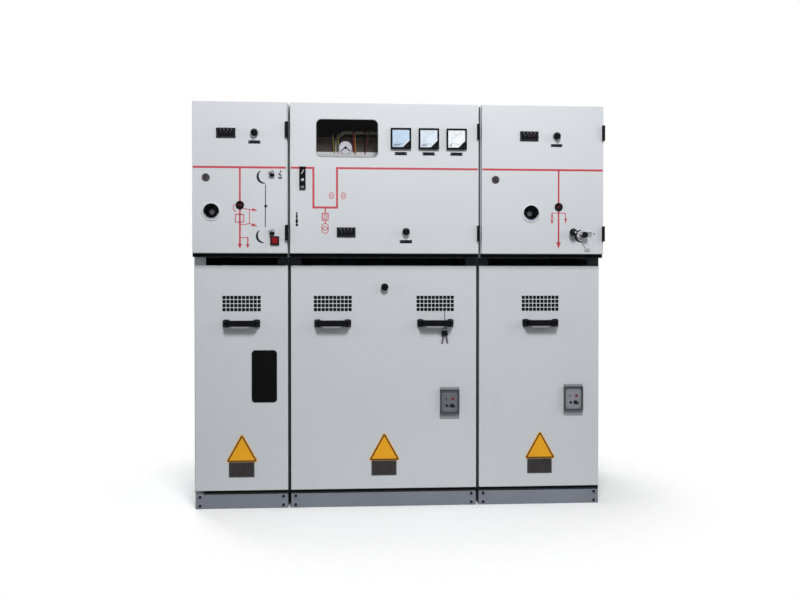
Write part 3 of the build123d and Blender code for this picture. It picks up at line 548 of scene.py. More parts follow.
class Piece:
    """Gathers closed bodies of one piece, each with its own finish."""

    def __init__(self):
        self.mesh = bmesh.new()
        self.finishes = []

    def _paint(self, faces, finish, smooth):
        if finish not in self.finishes:
            self.finishes.append(finish)
        for face in faces:
            face.material_index = self.finishes.index(finish)
            face.smooth = smooth

    def loft(self, rings, finish, smooth=False, closed=False):
        """Skin over rings with equal numbers of points, capped at both ends unless closed."""
        rows = [[self.mesh.verts.new(point) for point in ring] for ring in rings]
        faces = []
        pairs = list(zip(rows, rows[1:]))
        if closed:
            pairs.append((rows[-1], rows[0]))
        for one, two in pairs:
            count = len(one)
            for i in range(count):
                j = (i + 1) % count
                faces.append(self.mesh.faces.new((one[i], one[j], two[j], two[i])))
        self._paint(faces, finish, smooth)
        if not closed:
            caps = [self.mesh.faces.new(rows[0]), self.mesh.faces.new(list(reversed(rows[-1])))]
            self._paint(caps, finish, False)
            faces += caps
        bmesh.ops.recalc_face_normals(self.mesh, faces=faces)

    def prism(self, outline, front, back, finish, chamfer=0.0):
        """Flat body with the outline (x, z), from y = front to y = back."""
        rings = []
        if chamfer:
            rings.append([(x, front, z) for x, z in inset(outline, chamfer)])
            rings.append([(x, front + chamfer, z) for x, z in outline])
        else:
            rings.append([(x, front, z) for x, z in outline])
        rings.append([(x, back, z) for x, z in outline])
        self.loft(rings, finish)

    def frame(self, outer, inner, front, back, finish):
        """Flat ring between two outlines with equal numbers of points."""
        rings = [
            [(x, front, z) for x, z in inner],
            [(x, front, z) for x, z in outer],
            [(x, back, z) for x, z in outer],
            [(x, back, z) for x, z in inner],
        ]
        self.loft(rings, finish, closed=True)

    def rim(self, centre, outer, inner, front, back, finish, count=6):
        """Flat ring between two rounded rectangles, each given by its width, height and corner radius."""
        self.frame(rounded(centre, *outer, count), rounded(centre, *inner, count), front, back, finish)

    def stud(self, centre, profile, face, finish, sides=24, smooth=True):
        """Round body on a face; profile gives (radius, height over the face) from its top down."""
        rings = []
        for radius, height in profile:
            rings.append([(x, face - height, z) for x, z in circle(centre, radius, sides)])
        self.loft(rings, finish, smooth)

    def line(self, points, width, front, back, finish, closed=False):
        """Mitred strip along points (x, z)."""
        left, right = borders(points, width, closed)
        if closed:
            self.frame(left, right, front, back, finish)
        else:
            self.prism(left + right[::-1], front, back, finish)

    def tube(self, path, radius, finish, sides=12, closed=False):
        """Round tube along a path in space."""
        points = [Vector(p) for p in path]
        count = len(points)
        rings = []
        across = None
        for i, point in enumerate(points):
            if closed:
                ahead = points[(i + 1) % count] - points[i - 1]
            else:
                ahead = points[min(i + 1, count - 1)] - points[max(i - 1, 0)]
            ahead.normalize()
            if across is None:
                across = ahead.orthogonal().normalized()
            across = (across - ahead * across.dot(ahead)).normalized()
            side = ahead.cross(across)
            rings.append([
                tuple(point + (across * math.cos(a) + side * math.sin(a)) * radius) for a in steps(sides)
            ])
        self.loft(rings, finish, smooth=True, closed=closed)

    def block(self, low, high, finish, chamfer=0.0):
        """Box between two corners, with its front edges broken."""
        outline = [(low[0], low[2]), (high[0], low[2]), (high[0], high[2]), (low[0], high[2])]
        self.prism(outline, low[1], high[1], finish, chamfer)

    def turn(self, angle, axis):
        """Turns everything gathered so far, for faces that don't look towards the front."""
        bmesh.ops.transform(self.mesh, matrix=Matrix.Rotation(angle, 4, axis), verts=self.mesh.verts)

    def make(self, name, body, slot_name):
        """Turns what was gathered into one object that rides on a body."""
        mesh = bpy.data.meshes.new(name)
        bmesh.ops.scale(self.mesh, vec=(TO_METRES,) * 3, verts=self.mesh.verts)
        self.mesh.to_mesh(mesh)
        self.mesh.free()
        for finish in self.finishes:
            mesh.materials.append(finish)
        piece = bpy.data.objects.new(name, mesh)
        bpy.context.scene.collection.objects.link(piece)
        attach(piece, body)
        return piece


def polar(centre, radius, angle):
    """Point at a distance and an angle from a centre."""
    return centre[0] + radius * math.cos(angle), centre[1] + radius * math.sin(angle)


def steps(count, start=0.0, turn=math.tau):
    return [start + turn * i / count for i in range(count)]


def circle(centre, radius, sides=36, start=0.0):
    return [polar(centre, radius, angle) for angle in steps(sides, start)]


def arc(centre, radius, start_degrees, end_degrees, count=24):
    first, turn = math.radians(start_degrees), math.radians(end_degrees - start_degrees)
    return [polar(centre, radius, first + turn * i / count) for i in range(count + 1)]


def four_corners(centre, reach_x, reach_z):
    """Four places round a centre, for screws and pins."""
    return [(centre[0] + sx * reach_x, centre[1] + sz * reach_z) for sx in (-1, 1) for sz in (-1, 1)]


def rounded(centre, width, height, radius, count=6):
    """Rectangle with round corners, anticlockwise from the lower right."""
    points = []
    for sx, sz, first in ((1, -1, -90), (1, 1, 0), (-1, 1, 90), (-1, -1, 180)):
        corner = (centre[0] + sx * (width / 2 - radius), centre[1] + sz * (height / 2 - radius))
        points += arc(corner, radius, first, first + 90, count)
    return points


def rectangle(centre, width, height):
    x, z = centre
    return [
        (x - width / 2, z - height / 2), (x + width / 2, z - height / 2),
        (x + width / 2, z + height / 2), (x - width / 2, z + height / 2),
    ]


def borders(points, width, closed=False):
    """Left and right borders of a strip along points."""
    left, right = [], []
    count = len(points)
    for i, (x, z) in enumerate(points):
        before = points[i - 1] if closed or i else None
        after = points[(i + 1) % count] if closed or i < count - 1 else None
        normals = []
        for one, two in ((before, (x, z)), ((x, z), after)):
            if one is None or two is None:
                continue
            dx, dz = two[0] - one[0], two[1] - one[1]
            length = math.hypot(dx, dz)
            normals.append((-dz / length, dx / length))
        nx = sum(n[0] for n in normals) / len(normals)
        nz = sum(n[1] for n in normals) / len(normals)
        scale = width / 2 / max(0.25, nx * nx + nz * nz)
        left.append((x + nx * scale, z + nz * scale))
        right.append((x - nx * scale, z - nz * scale))
    return left, right


def inset(outline, amount):
    """Outline moved inwards; the outline runs anticlockwise."""
    return borders(outline, 2 * amount, closed=True)[0]


def soften(corners, radius, count=5):
    """Rounds the corners of an anticlockwise outline."""
    points = []
    total = len(corners)
    for i, corner in enumerate(corners):
        here = Vector(corner)
        before = (Vector(corners[i - 1]) - here).normalized()
        after = (Vector(corners[(i + 1) % total]) - here).normalized()
        half = before.angle(after) / 2
        reach = radius / math.tan(half)
        middle = here + (before + after).normalized() * (radius / math.sin(half))
        start, end = here + before * reach - middle, here + after * reach - middle
        first = math.atan2(start.y, start.x)
        turn = (math.atan2(end.y, end.x) - first) % math.tau
        points += [polar(middle, radius, first + turn * k / count) for k in range(count + 1)]
    return points


def smooth_path(points, count=8):
    """Curve through the points, drawn with short steps."""
    path = [Vector(point) for point in points]
    path = [path[0] * 2 - path[1], *path, path[-1] * 2 - path[-2]]
    result = []
    for a, b, c, d in zip(path, path[1:], path[2:], path[3:]):
        for k in range(count):
            t = k / count
            result.append(0.5 * ((2 * b) + (c - a) * t + (2 * a - 5 * b + 4 * c - d) * t * t
                                 + (3 * b - a - 3 * c + d) * t * t * t))
    return [tuple(point) for point in (*result, path[-2])]


# Strokes of the numerals on a grid of 4 by 6, and whether each closes
DIGITS = {
    "0": ([(0, 0), (4, 0), (4, 6), (0, 6)], True),
    "1": ([(2, 0), (2, 6)], False),
    "2": ([(0, 6), (4, 6), (4, 3), (0, 3), (0, 0), (4, 0)], False),
    "4": ([(0, 6), (0, 3), (4, 3), (4, 6), (4, 0)], False),
    "5": ([(4, 6), (0, 6), (0, 3), (4, 3), (4, 0), (0, 0)], False),
    "6": ([(4, 6), (0, 6), (0, 0), (4, 0), (4, 3), (0.4, 3)], False),
}


def number(piece, text, centre, height, front, back, finish):
    """Plain numerals made of strokes."""
    unit = height / 6
    pitch = 5.6 * unit
    start = centre[0] - (len(text) * pitch - 1.6 * unit) / 2
    for i, sign in enumerate(text):
        stroke, closed = DIGITS[sign]
        points = [(start + i * pitch + x * unit, centre[1] + (z - 3) * unit) for x, z in stroke]
        piece.line(points, unit * 0.9, front, back, finish, closed)


def hex_bolt(piece, centre, across, face, height, turn):
    """Black hexagon head on a bright washer, standing on a face that looks towards the front."""
    washer = 1.0
    rim = across * 0.80
    piece.stud(centre, [(across * 0.76, washer), (rim, 0.7), (rim, 0)], face, grey_plate(), smooth=False)
    head = circle(centre, across / math.sqrt(3), 6, turn)
    piece.prism(head, face - washer - height, face - washer, bolt_black(), chamfer=0.8)


def pan_screw(piece, centre, diameter, face, finish, turn, height=0.5):
    """Low round head with a dark cross in its top; its rise is height times the radius."""
    radius = diameter / 2
    rise = radius * height
    profile = [(radius * 0.55, rise), (radius * 0.85, rise * 0.76), (radius, rise * 0.2), (radius, 0)]
    piece.stud(centre, profile, face, finish)
    top = face - rise
    for angle in (turn, turn + math.pi / 2):
        dx, dz = math.cos(angle) * radius * 0.5, math.sin(angle) * radius * 0.5
        piece.line([(centre[0] - dx, centre[1] - dz), (centre[0] + dx, centre[1] + dz)], radius * 0.16,
                   top - 0.12, top + 0.1, rubber())


# Finishes of the solids

SLOT_FINISH = {
    "enclosure_paint": enclosure_paint,
    "plinth_paint": plinth_paint,
    "zinc_plated_steel": plated_steel,
    "black_painted_steel": black_paint,
    "white_plastic": cream_plastic,
    "black_plastic": black_plastic,
    "red_plastic": red_plastic,
    "rubber_seal": seam_rubber,
    "grey_conduit": grey_conduit,
}
OWN_FINISH = {
    "centre_window_glass": window_glazing,
    "left_inspection_glass": inspection_glazing,
    "centre_interlock": interlock_grey,
    "right_interlock": interlock_grey,
    "metering_shelf": pale_shelf,
    "wiring_loom": rubber,
    "left_bezels": brushed_steel,
    "right_bezels": brushed_steel,
    "left_lock": worn_steel,
    "right_lock": worn_steel,
    "operating_shafts": dark_steel,
    "door_keys": key_steel,
    "floor_plates": inner_paint,
    "roofs": roof_paint,
}


def repaint(node, finishes, choose):
    """Gives a solid several finishes; choose turns the middle of a face into the number of its finish."""
    mesh = frame["nodes"][node].data
    mesh.materials.clear()
    for finish in finishes:
        mesh.materials.append(finish)
    for face in mesh.polygons:
        face.material_index = choose(face.center / TO_METRES)


class RINGMAIN_OT_solid_finishes(bpy.types.Operator):
    """Paint every solid with its own finish or that of its material slot"""
    bl_idname = "ringmain.solid_finishes"
    bl_label = "Solid finishes"

    def execute(self, context):
        slots = {entry["node"]: entry["material_slot"] for entry in frame["record"]["subparts"]}
        for node, solid in frame["nodes"].items():
            make = OWN_FINISH.get(node) or SLOT_FINISH[slots[node]]
            solid.data.materials.clear()
            solid.data.materials.append(make())
        self.finish_lever()
        self.finish_posts()
        for bay in SOCKETS:
            self.finish_bezels(bay)
        return {"FINISHED"}

    def finish_bezels(self, bay):
        """The rim of the operating socket is painted like the door, its bore is painted dark as painted
        shade, and the other rings are bright.
        """
        socket = Vector(upper_spot(bay, *SOCKETS[bay]))

        def choose(place):
            if (place.xz - socket).length > SOCKET_RIM / 2 + 1:
                return 0
            # Deeper than the door's face the bore gets painted shade
            return 2 if place.y > UPPER_FACE + 3 else 1

        repaint(f"{bay}_bezels", (brushed_steel(), enclosure_paint(), painted_shade()), choose)

    def finish_lever(self):
        """The ball and the hub are black plastic, the bare arm between them is plated."""
        low, high = solid_box("ball_lever")
        grips = (
            (Vector((low.x + LEVER_BALL / 2, high.z - LEVER_BALL / 2)), LEVER_BALL),
            (Vector((high.x - LEVER_HUB / 2, low.z + LEVER_HUB / 2)), LEVER_HUB),
        )

        def choose(place):
            on_grip = any((place.xz - middle).length < width / 2 + 0.5 for middle, width in grips)
            return 0 if on_grip else 1

        repaint("ball_lever", (glossy_black(), plated_steel()), choose)

    def finish_posts(self):
        """The posts are painted dark as painted shade of the doors, apart from the outermost left one."""
        outermost = UPPER["left"][0].x + 60
        repaint("hook_posts", (painted_shade(), enclosure_paint()), lambda place: int(place.x < outermost))


# Markings of the panels


class Marks(Piece):
    """Printed marks on an upper door; their places count from the bay's left edge and the door's foot."""

    def __init__(self, bay, ink):
        super().__init__()
        self.bay = bay
        self.ink = ink
        self.front = UPPER_FACE - values("marking").film

    def spots(self, places):
        return [upper_spot(self.bay, *place) for place in places]

    def stroke(self, places, width, closed=False):
        """Printed line through places."""
        self.line(self.spots(places), width, self.front, UPPER_FACE, self.ink, closed)

    def patch(self, outline, ink=None, proud=0.0):
        """Printed patch with an outline."""
        self.prism(self.spots(outline), self.front - proud, UPPER_FACE, ink or self.ink)

    def arrow(self, tip, direction, length, half_width):
        """Arrow head that points along a direction and ends at its tip."""
        dx, dz = direction
        base = (tip[0] - dx * length, tip[1] - dz * length)
        self.patch([tip, (base[0] - dz * half_width, base[1] + dx * half_width),
                    (base[0] + dz * half_width, base[1] - dx * half_width)])

    def crescent(self, centre, radius, start, end, width, count=28):
        """Arc that is thick in its middle and thin at its ends."""
        outer = arc(centre, radius, start, end, count)
        inner = []
        for i, (x, z) in enumerate(outer):
            scale = 1 - width * (0.34 + 0.66 * math.sin(math.pi * i / count)) / radius
            inner.append((centre[0] + (x - centre[0]) * scale, centre[1] + (z - centre[1]) * scale))
        self.patch(outer + inner[::-1])

    def busbar(self, width, detour=()):
        """Line across the whole door, with corners on its way."""
        door_width = UPPER[self.bay][1].x - UPPER[self.bay][0].x
        start, end = DOOR_INSET + LINE_MARGIN, DOOR_INSET + door_width - LINE_MARGIN
        self.stroke([(start, BUSBAR_RISE), *detour, (end, BUSBAR_RISE)], width)


class RINGMAIN_OT_mimic_lines(bpy.types.Operator):
    """Add the red single-line diagram of the three upper doors"""
    bl_idname = "ringmain.mimic_lines"
    bl_label = "Mimic lines"

    def execute(self, context):
        marking = values("marking")
        for bay in BAYS:
            marks = Marks(bay, mimic_print())
            draw = getattr(self, f"{bay}_diagram")
            draw(marks, marking.mimic_width, marking.branch_width, marking.thin_width)
            marks.make(f"mimic_lines_{bay}", UPPER_BODY[bay], "red_plastic")
        return {"FINISHED"}

    def left_diagram(self, marks, thick, branch, thin):
        """Switch with a fuse, two earthing contacts and a voltage indicator."""
        marks.busbar(thick)
        marks.stroke([(188.5, BUSBAR_RISE - 2), (188.0, 34)], branch)
        marks.arrow((188.0, 17), (0, -1), 19, 8.5)
        marks.stroke(arc((178.5, 176), 16, 128, 262, 14), thin)
        marks.stroke(rectangle((186.8, 135), 31.5, 29.5), thin + 0.6, closed=True)
        marks.stroke([(200, 174), (216, 170), (238, 169)], thin)
        marks.arrow((257, 164), (0.97, -0.24), 21, 6)
        marks.stroke([(225, 169), (225, 114)], thin)
        marks.stroke([(191, 110), (208, 111), (225, 115), (236, 111)], thin)
        marks.arrow((256, 104), (0.95, -0.31), 22, 6.5)
        marks.stroke([(191, 61), (218.5, 61)], thin)
        marks.stroke([(218.5, 62.4), (218.0, 32)], thin + 1.6)
        marks.arrow((218.0, 20), (0, -1), 14, 8)

    def centre_diagram(self, marks, thick, branch, thin):
        """Dip of the busbar to a fuse and a transformer, beside two current transformers."""
        marks.busbar(thick, [(96.5, BUSBAR_RISE), (96.5, 178.5), (188, 178.5), (188, BUSBAR_RISE)])
        marks.stroke([(142.5, 176), (142.5, 159)], branch - 2)
        marks.stroke(rectangle((142, 143), 22.8, 26.6), thin + 0.9, closed=True)
        marks.stroke(rectangle((142, 143), 9.5, 15), thin - 0.4, closed=True)
        marks.stroke([(142, 128), (142, 118)], thin + 1)
        for rise in (103.5, 90.5):
            marks.stroke(circle((141.5, rise), 12.6, 30), thin, closed=True)
        rise = 225
        for from_left in (166.2, 212.5):
            oval = [(x, rise + (z - rise) * 1.38) for x, z in circle((from_left, rise), 8.8, 30)]
            marks.stroke(oval, thin - 0.6, closed=True)
            for x in (from_left - 2.6, from_left + 2.6):
                marks.stroke([(x, rise - 6.5), (x, rise + 6.5)], thin - 0.8)

    def right_diagram(self, marks, thick, branch, thin):
        """Switch with an earthing contact and an outgoing cable."""
        marks.busbar(thick)
        marks.stroke([(313.5, BUSBAR_RISE - 2), (313.5, 44)], branch)
        marks.arrow((313.5, 21), (0, -1), 25, 9.5)
        marks.stroke([(287, 154), (287, 162), (341, 162), (341, 140)], thin)
        marks.arrow((342, 118), (0, -1), 23, 5.5)
        leaf = arc((262.5, 141), 29, -33, 33, 12) + arc((311.5, 141), 29, 147, 213, 12)
        marks.stroke(leaf, thin - 0.6, closed=True)
        marks.stroke([(287, 154), (287, 128)], thin)
        marks.arrow((287, 117), (0, -1), 11, 4.5)


class RINGMAIN_OT_printed_marks(bpy.types.Operator):
    """Add the dark printed arcs, scale line and small marks, and the blank tags under the fittings"""
    bl_idname = "ringmain.printed_marks"
    bl_label = "Printed marks and tags"

    def execute(self, context):
        left, centre, right = (Marks(bay, dark_print()) for bay in BAYS)
        left.crescent((279.0, 296), 27, 118, 284, 9.6)
        left.crescent((276.0, 66), 27, 120, 280, 9.2)
        left.stroke([(287, 266), (285.5, 101)], 3.2)
        left.patch(circle((287.5, 183), 5.8, 28), proud=0.2)
        for x, z, width, height in ((345, 317, 6, 9), (341, 306, 8, 9), (346, 301, 5, 8), (343, 292, 15, 8)):
            left.patch(rounded((x, z), width, height, 2, 3), worn_print())
        for low, high, width in ((152, 160, 6), (137, 150, 7), (118, 133, 9), (105, 115, 9)):
            centre.patch(rounded((32, (low + high) / 2), width, high - low, 1.6, 3))
        centre.stroke([(32, 159), (32, 106)], 3.0)
        right.crescent((403, 71), 25.5, 84, 292, 9.5)
        right.patch(circle((457, 80), 3.0, 20))
        for marks in (left, centre, right):
            marks.make(f"printed_marks_{marks.bay}", UPPER_BODY[marks.bay], "black_plastic")
        for bay, tags in TAGS.items():
            self.add_tags(bay, tags)
        return {"FINISHED"}

    def add_tags(self, bay, tags):
        """Blank plates, each held by a pin at both ends."""
        piece = Piece()
        front = UPPER_FACE - 1.6
        for from_left, rise, width, height in tags:
            spot = upper_spot(bay, from_left, rise)
            piece.prism(rounded(spot, width, height, 1.2, 3), front, UPPER_FACE, tag_laminate(), 0.4)
            for side in (-1, 1):
                pin = (spot[0] + side * (width / 2 - 3.2), spot[1])
                piece.stud(pin, [(0.9, 0.5), (1.4, 0.3), (1.4, 0)], front, plated_steel(), 14)
        piece.make(f"blank_tags_{bay}", UPPER_BODY[bay], "black_plastic")


class RINGMAIN_OT_blank_signs(bpy.types.Operator):
    """Add a blank amber triangle and a blank dark plate to each lower door"""
    bl_idname = "ringmain.blank_signs"
    bl_label = "Blank signs"

    def execute(self, context):
        for bay, from_left in {"left": 188.5, "centre": 375.5, "right": 253.5}.items():
            self.add_triangle(bay, lower_spot(bay, from_left, 776.5))
            self.add_plate(bay, lower_spot(bay, from_left - 1.5, 805))
        return {"FINISHED"}

    def add_triangle(self, bay, foot):
        """Amber triangle with a dark border, standing on the middle of its lower edge."""
        half_width, height = 64.5, 116
        front = LOWER_FACE - 1.0
        edge = soften([(foot[0] - half_width, foot[1]), (foot[0] + half_width, foot[1]),
                       (foot[0], foot[1] + height)], 7)
        sign = Piece()
        sign.prism(edge, front, LOWER_FACE, amber_film(), 0.3)
        sign.frame(inset(edge, 3.0), inset(edge, 8.0), front - values("marking").film, front, brown_film())
        sign.make(f"blank_triangle_{bay}", LOWER_BODY[bay], "red_plastic")

    def add_plate(self, bay, middle):
        """Dark plate with a thin rim, held by a pin at each corner."""
        width, height = 100, 60
        front = LOWER_FACE - 1.5
        plate = Piece()
        plate.prism(rounded(middle, width, height, 1.5, 3), front, LOWER_FACE, etched_plate(), 0.4)
        plate.rim(middle, (width - 2, height - 2, 1.5), (width - 9, height - 9, 1.0), front - 0.2, front,
                  plate_rim(), 3)
        for pin in four_corners(middle, 45.5, 25.5):
            plate.stud(pin, [(1.1, 1.0), (1.9, 0.6), (2.0, 0)], front, dark_steel(), 16)
        plate.make(f"blank_plate_{bay}", LOWER_BODY[bay], "black_plastic")


# Instruments


class RINGMAIN_OT_meter_dials(bpy.types.Operator):
    """Add the dial, scale, numerals, needle and cover glass of each panel meter"""
    bl_idname = "ringmain.meter_dials"
    bl_label = "Meter dials"

    def execute(self, context):
        low, high = solid_box("panel_meters")
        pitch = (high.x - low.x - METER_WIDTH) / 2
        half = (METER_WIDTH / 2 - METER_RIM, METER_HEIGHT / 2 - METER_RIM)
        dials, covers = Piece(), Piece()
        meters = (
            (("0", "5", "10", "15"), 27.0),
            (("0", "20", "40", "60"), 24.0),
            (("0", "20", "40", "60"), 11.0),
        )
        for index, (labels, rating) in enumerate(meters):
            middle = (low.x + METER_WIDTH / 2 + index * pitch, (low.z + high.z) / 2)
            right, foot = middle[0] + half[0], middle[1] - half[1]
            card = [(middle[0] - half[0], foot), (right - METER_CUT, foot), (right, foot + METER_CUT),
                    (right, middle[1] + half[1]), (middle[0] - half[0], middle[1] + half[1])]
            floor_y = low.y + METER_RECESS
            ink = floor_y - 0.7
            dials.prism(inset(card, 0.4), ink, floor_y, dial_card(index * 0.45))
            band = inset(card, 1.6)
            dials.line([band[1], band[2]], 5.0, ink - METER_PRINT, ink, white_print())
            pivot = (right - 9, foot + 9)
            limits = (middle[0] - half[0] + 5.5, middle[1] + half[1] - 4.5)
            self.add_scale(dials, pivot, ink, labels, limits)
            start = middle[0] - half[0] + 5
            for rise, share in ((10, 1.0), (6, 0.8)):
                bar = [(start, foot + rise), (start + rating * share, foot + rise)]
                dials.line(bar, 2.5, ink - METER_PRINT, ink, worn_print())
            self.add_needle(dials, pivot, ink)
            self.add_adjuster(dials, (right - 5.5, foot + 5.5), low.y)
            covers.prism(inset(card, 0.2), floor_y - 2.6, floor_y - 1.8, cover_glazing())
        dials.make("meter_dials", UPPER_BODY["centre"], "white_plastic")
        covers.make("meter_covers", UPPER_BODY["centre"], "clear_glazing")
        return {"FINISHED"}

    def add_scale(self, dials, pivot, ink, labels, limits):
        """Curved scale with its divisions and numerals, which stay on the card."""
        curve = arc(pivot, SCALE_REACH, SCALE_END, SCALE_START, 30)
        dials.line(curve, 0.7, ink - METER_PRINT, ink, faint_print())
        count = values("instrument").scale_marks
        for mark in range(count + 1):
            angle = math.radians(SCALE_START - (SCALE_START - SCALE_END) * mark / count)
            length, width = (6.0, 0.9) if mark % 5 == 0 else (3.0, 0.5)
            ends = [polar(pivot, SCALE_REACH - length, angle), polar(pivot, SCALE_REACH, angle)]
            dials.line(ends, width, ink - METER_PRINT, ink, faint_print())
        for k, label in enumerate(labels):
            angle = math.radians(SCALE_START - (SCALE_START - SCALE_END) * k / (len(labels) - 1))
            spot = polar(pivot, SCALE_REACH + 5.0, angle)
            spot = (max(spot[0], limits[0]), min(spot[1], limits[1]))
            number(dials, label, spot, 4.2, ink - METER_PRINT, ink, faint_print())

    def add_needle(self, dials, pivot, ink):
        """Thin needle near its zero, which comes out from under the dark corner."""
        angle = math.radians(SCALE_START) - values("instrument").needle_angle
        ends = [polar(pivot, 15, angle), polar(pivot, SCALE_REACH - 2, angle)]
        dials.line(ends, 0.7, ink - 0.9, ink - 0.5, dark_print())

    def add_adjuster(self, dials, spot, face):
        """Slotted zero adjuster in the dark corner."""
        dials.stud(spot, [(2.2, 1.0), (3.2, 0.6), (3.4, 0)], face, black_plastic(), 24)
        slot = [(spot[0] - 1.6, spot[1] - 1.6), (spot[0] + 1.6, spot[1] + 1.6)]
        dials.line(slot, 0.6, face - 1.1, face - 0.9, dark_steel())


class RINGMAIN_OT_display_fronts(bpy.types.Operator):
    """Add the lamps, test points, notches and thin frame of each live-line display"""
    bl_idname = "ringmain.display_fronts"
    bl_label = "Display fronts"

    def execute(self, context):
        for bay in BAYS:
            cx, cz = middle_of(f"{bay}_display")
            front = solid_box(f"{bay}_display")[0].y
            piece = Piece()
            for x in (cx - 17.0, cx, cx + 17.0):
                lamp = [(1.6, 0.9), (3.0, 0.5), (3.7, -0.3), (3.7, -1.5)]
                piece.stud((x, cz), lamp, front, lamp_lens())
                piece.stud((x, cz - 11.0), [(1.2, 0.5), (2.0, 0.4), (2.0, 0)], front, black_plastic(), 18)
            for step in (-1.5, -0.5, 0.5, 1.5):
                notch = (cx + step * 14.2, cz + 10.5)
                piece.prism(rounded(notch, 3.0, 9.5, 0.8, 3), front - 0.3, front, worn_print(), 0.1)
            piece.rim((cx, cz), (66, 30.5, 2), (64.6, 29.1, 1.6), front - 0.25, front, dark_steel())
            piece.make(f"display_front_{bay}", UPPER_BODY[bay], "black_plastic")
        return {"FINISHED"}


class RINGMAIN_OT_selector_marks(bpy.types.Operator):
    """Add the grey line of each selector knob and the position marks on its ring"""
    bl_idname = "ringmain.selector_marks"
    bl_label = "Selector marks"

    def execute(self, context):
        for bay in BAYS:
            low, high = solid_box(f"{bay}_selector_knob")
            middle = middle_of(f"{bay}_selector_knob")
            knob = Piece()
            pointer = [(middle[0], middle[1] + 5), (middle[0], high.z - 2.2)]
            knob.line(pointer, 1.2, low.y - 0.2, low.y, grey_print())
            knob.make(f"selector_line_{bay}", f"{bay}_selector", "white_plastic")
            ring = Piece()
            face = UPPER_FACE - 5.0
            radius = 14.9
            for angle in (math.pi / 2, 0.0):
                ends = [polar(middle, radius - 0.8, angle), polar(middle, radius, angle)]
                ring.line(ends, 1.2, face - 0.1, face + 0.05, grey_print())
            ring.make(f"selector_ring_marks_{bay}", UPPER_BODY[bay], "black_plastic")
        return {"FINISHED"}


class RINGMAIN_OT_position_indicators(bpy.types.Operator):
    """Add the black face, the red bar and the lens of each switch position indicator"""
    bl_idname = "ringmain.position_indicators"
    bl_label = "Position indicators"

    def execute(self, context):
        for bay, tilt in (("left", -7), ("right", 34)):
            middle = middle_of(f"{bay}_position_indicator")
            front = solid_box(f"{bay}_position_indicator")[0].y
            floor_y = front + 2.0
            piece = Piece()
            piece.prism(circle(middle, 11.7, 40), floor_y - 0.4, floor_y, rubber())
            ends = [polar(middle, reach, math.radians(tilt)) for reach in (-8.6, 8.6)]
            piece.line(ends, 4.6, floor_y - 0.7, floor_y - 0.4, dark_red())
            piece.stud(middle, [(11.9, -0.5), (11.95, -0.6), (11.95, -1.1)], front, lens_glazing(), 40)
            piece.make(f"indicator_face_{bay}", UPPER_BODY[bay], "black_plastic")
        return {"FINISHED"}


class RINGMAIN_OT_locks(bpy.types.Operator):
    """Add the ring and the key slot of each round lock and the marks of the tall plate lock"""
    bl_idname = "ringmain.locks"
    bl_label = "Locks"

    def execute(self, context):
        for bay in SOCKETS:
            low, high = solid_box(f"{bay}_lock")
            middle = ((low.x + high.x) / 2, high.z - ROUND_LOCK / 2)
            piece = Piece()
            piece.frame(circle(middle, 10.2), circle(middle, 9.0), low.y - 0.35, low.y, rubber())
            piece.prism(rounded(middle, 2.7, 13.4, 1.2, 4), low.y + 1.9, low.y + 2.4, rubber())
            for side in (-1, 1):
                ends = [(middle[0] + side * 2.6, middle[1]), (middle[0] + side * 7.5, middle[1])]
                piece.line(ends, 1.1, low.y - 0.25, low.y, dark_print())
            piece.make(f"lock_plug_{bay}", UPPER_BODY[bay], "zinc_plated_steel")
        self.add_plate_lock_marks()
        return {"FINISHED"}

    def add_plate_lock_marks(self):
        """Bright slash and button on the lever of the plate lock, and a slotted stud below it."""
        cx, cz = middle_of("centre_plate_lock")
        lever_y, plate_y = solid_box("centre_plate_lock")[0].y, UPPER_FACE - 6.0
        button, stud = (cx, cz - 8), (cx, cz - 35)
        piece = Piece()
        piece.prism([(cx - 6.5, cz + 14), (cx - 1.5, cz + 16), (cx + 6.5, cz + 30), (cx + 3.5, cz + 32)],
                    lever_y - 1.2, lever_y, plated_steel(), 0.4)
        piece.stud(button, [(3.6, 2.0), (5.6, 1.4), (6.2, 0)], lever_y, plated_steel(), 28)
        piece.prism(rounded(button, 1.4, 7.0, 0.6, 3), lever_y - 2.2, lever_y - 1.9, rubber())
        piece.stud(stud, [(4.4, 2.2), (6.2, 1.8), (6.8, 0)], plate_y, dark_steel(), 28)
        piece.line([(cx - 6, stud[1]), (cx + 6, stud[1])], 3.0, plate_y - 2.5, plate_y - 2.2, grey_print())
        piece.make("plate_lock_marks", UPPER_BODY["centre"], "white_plastic")


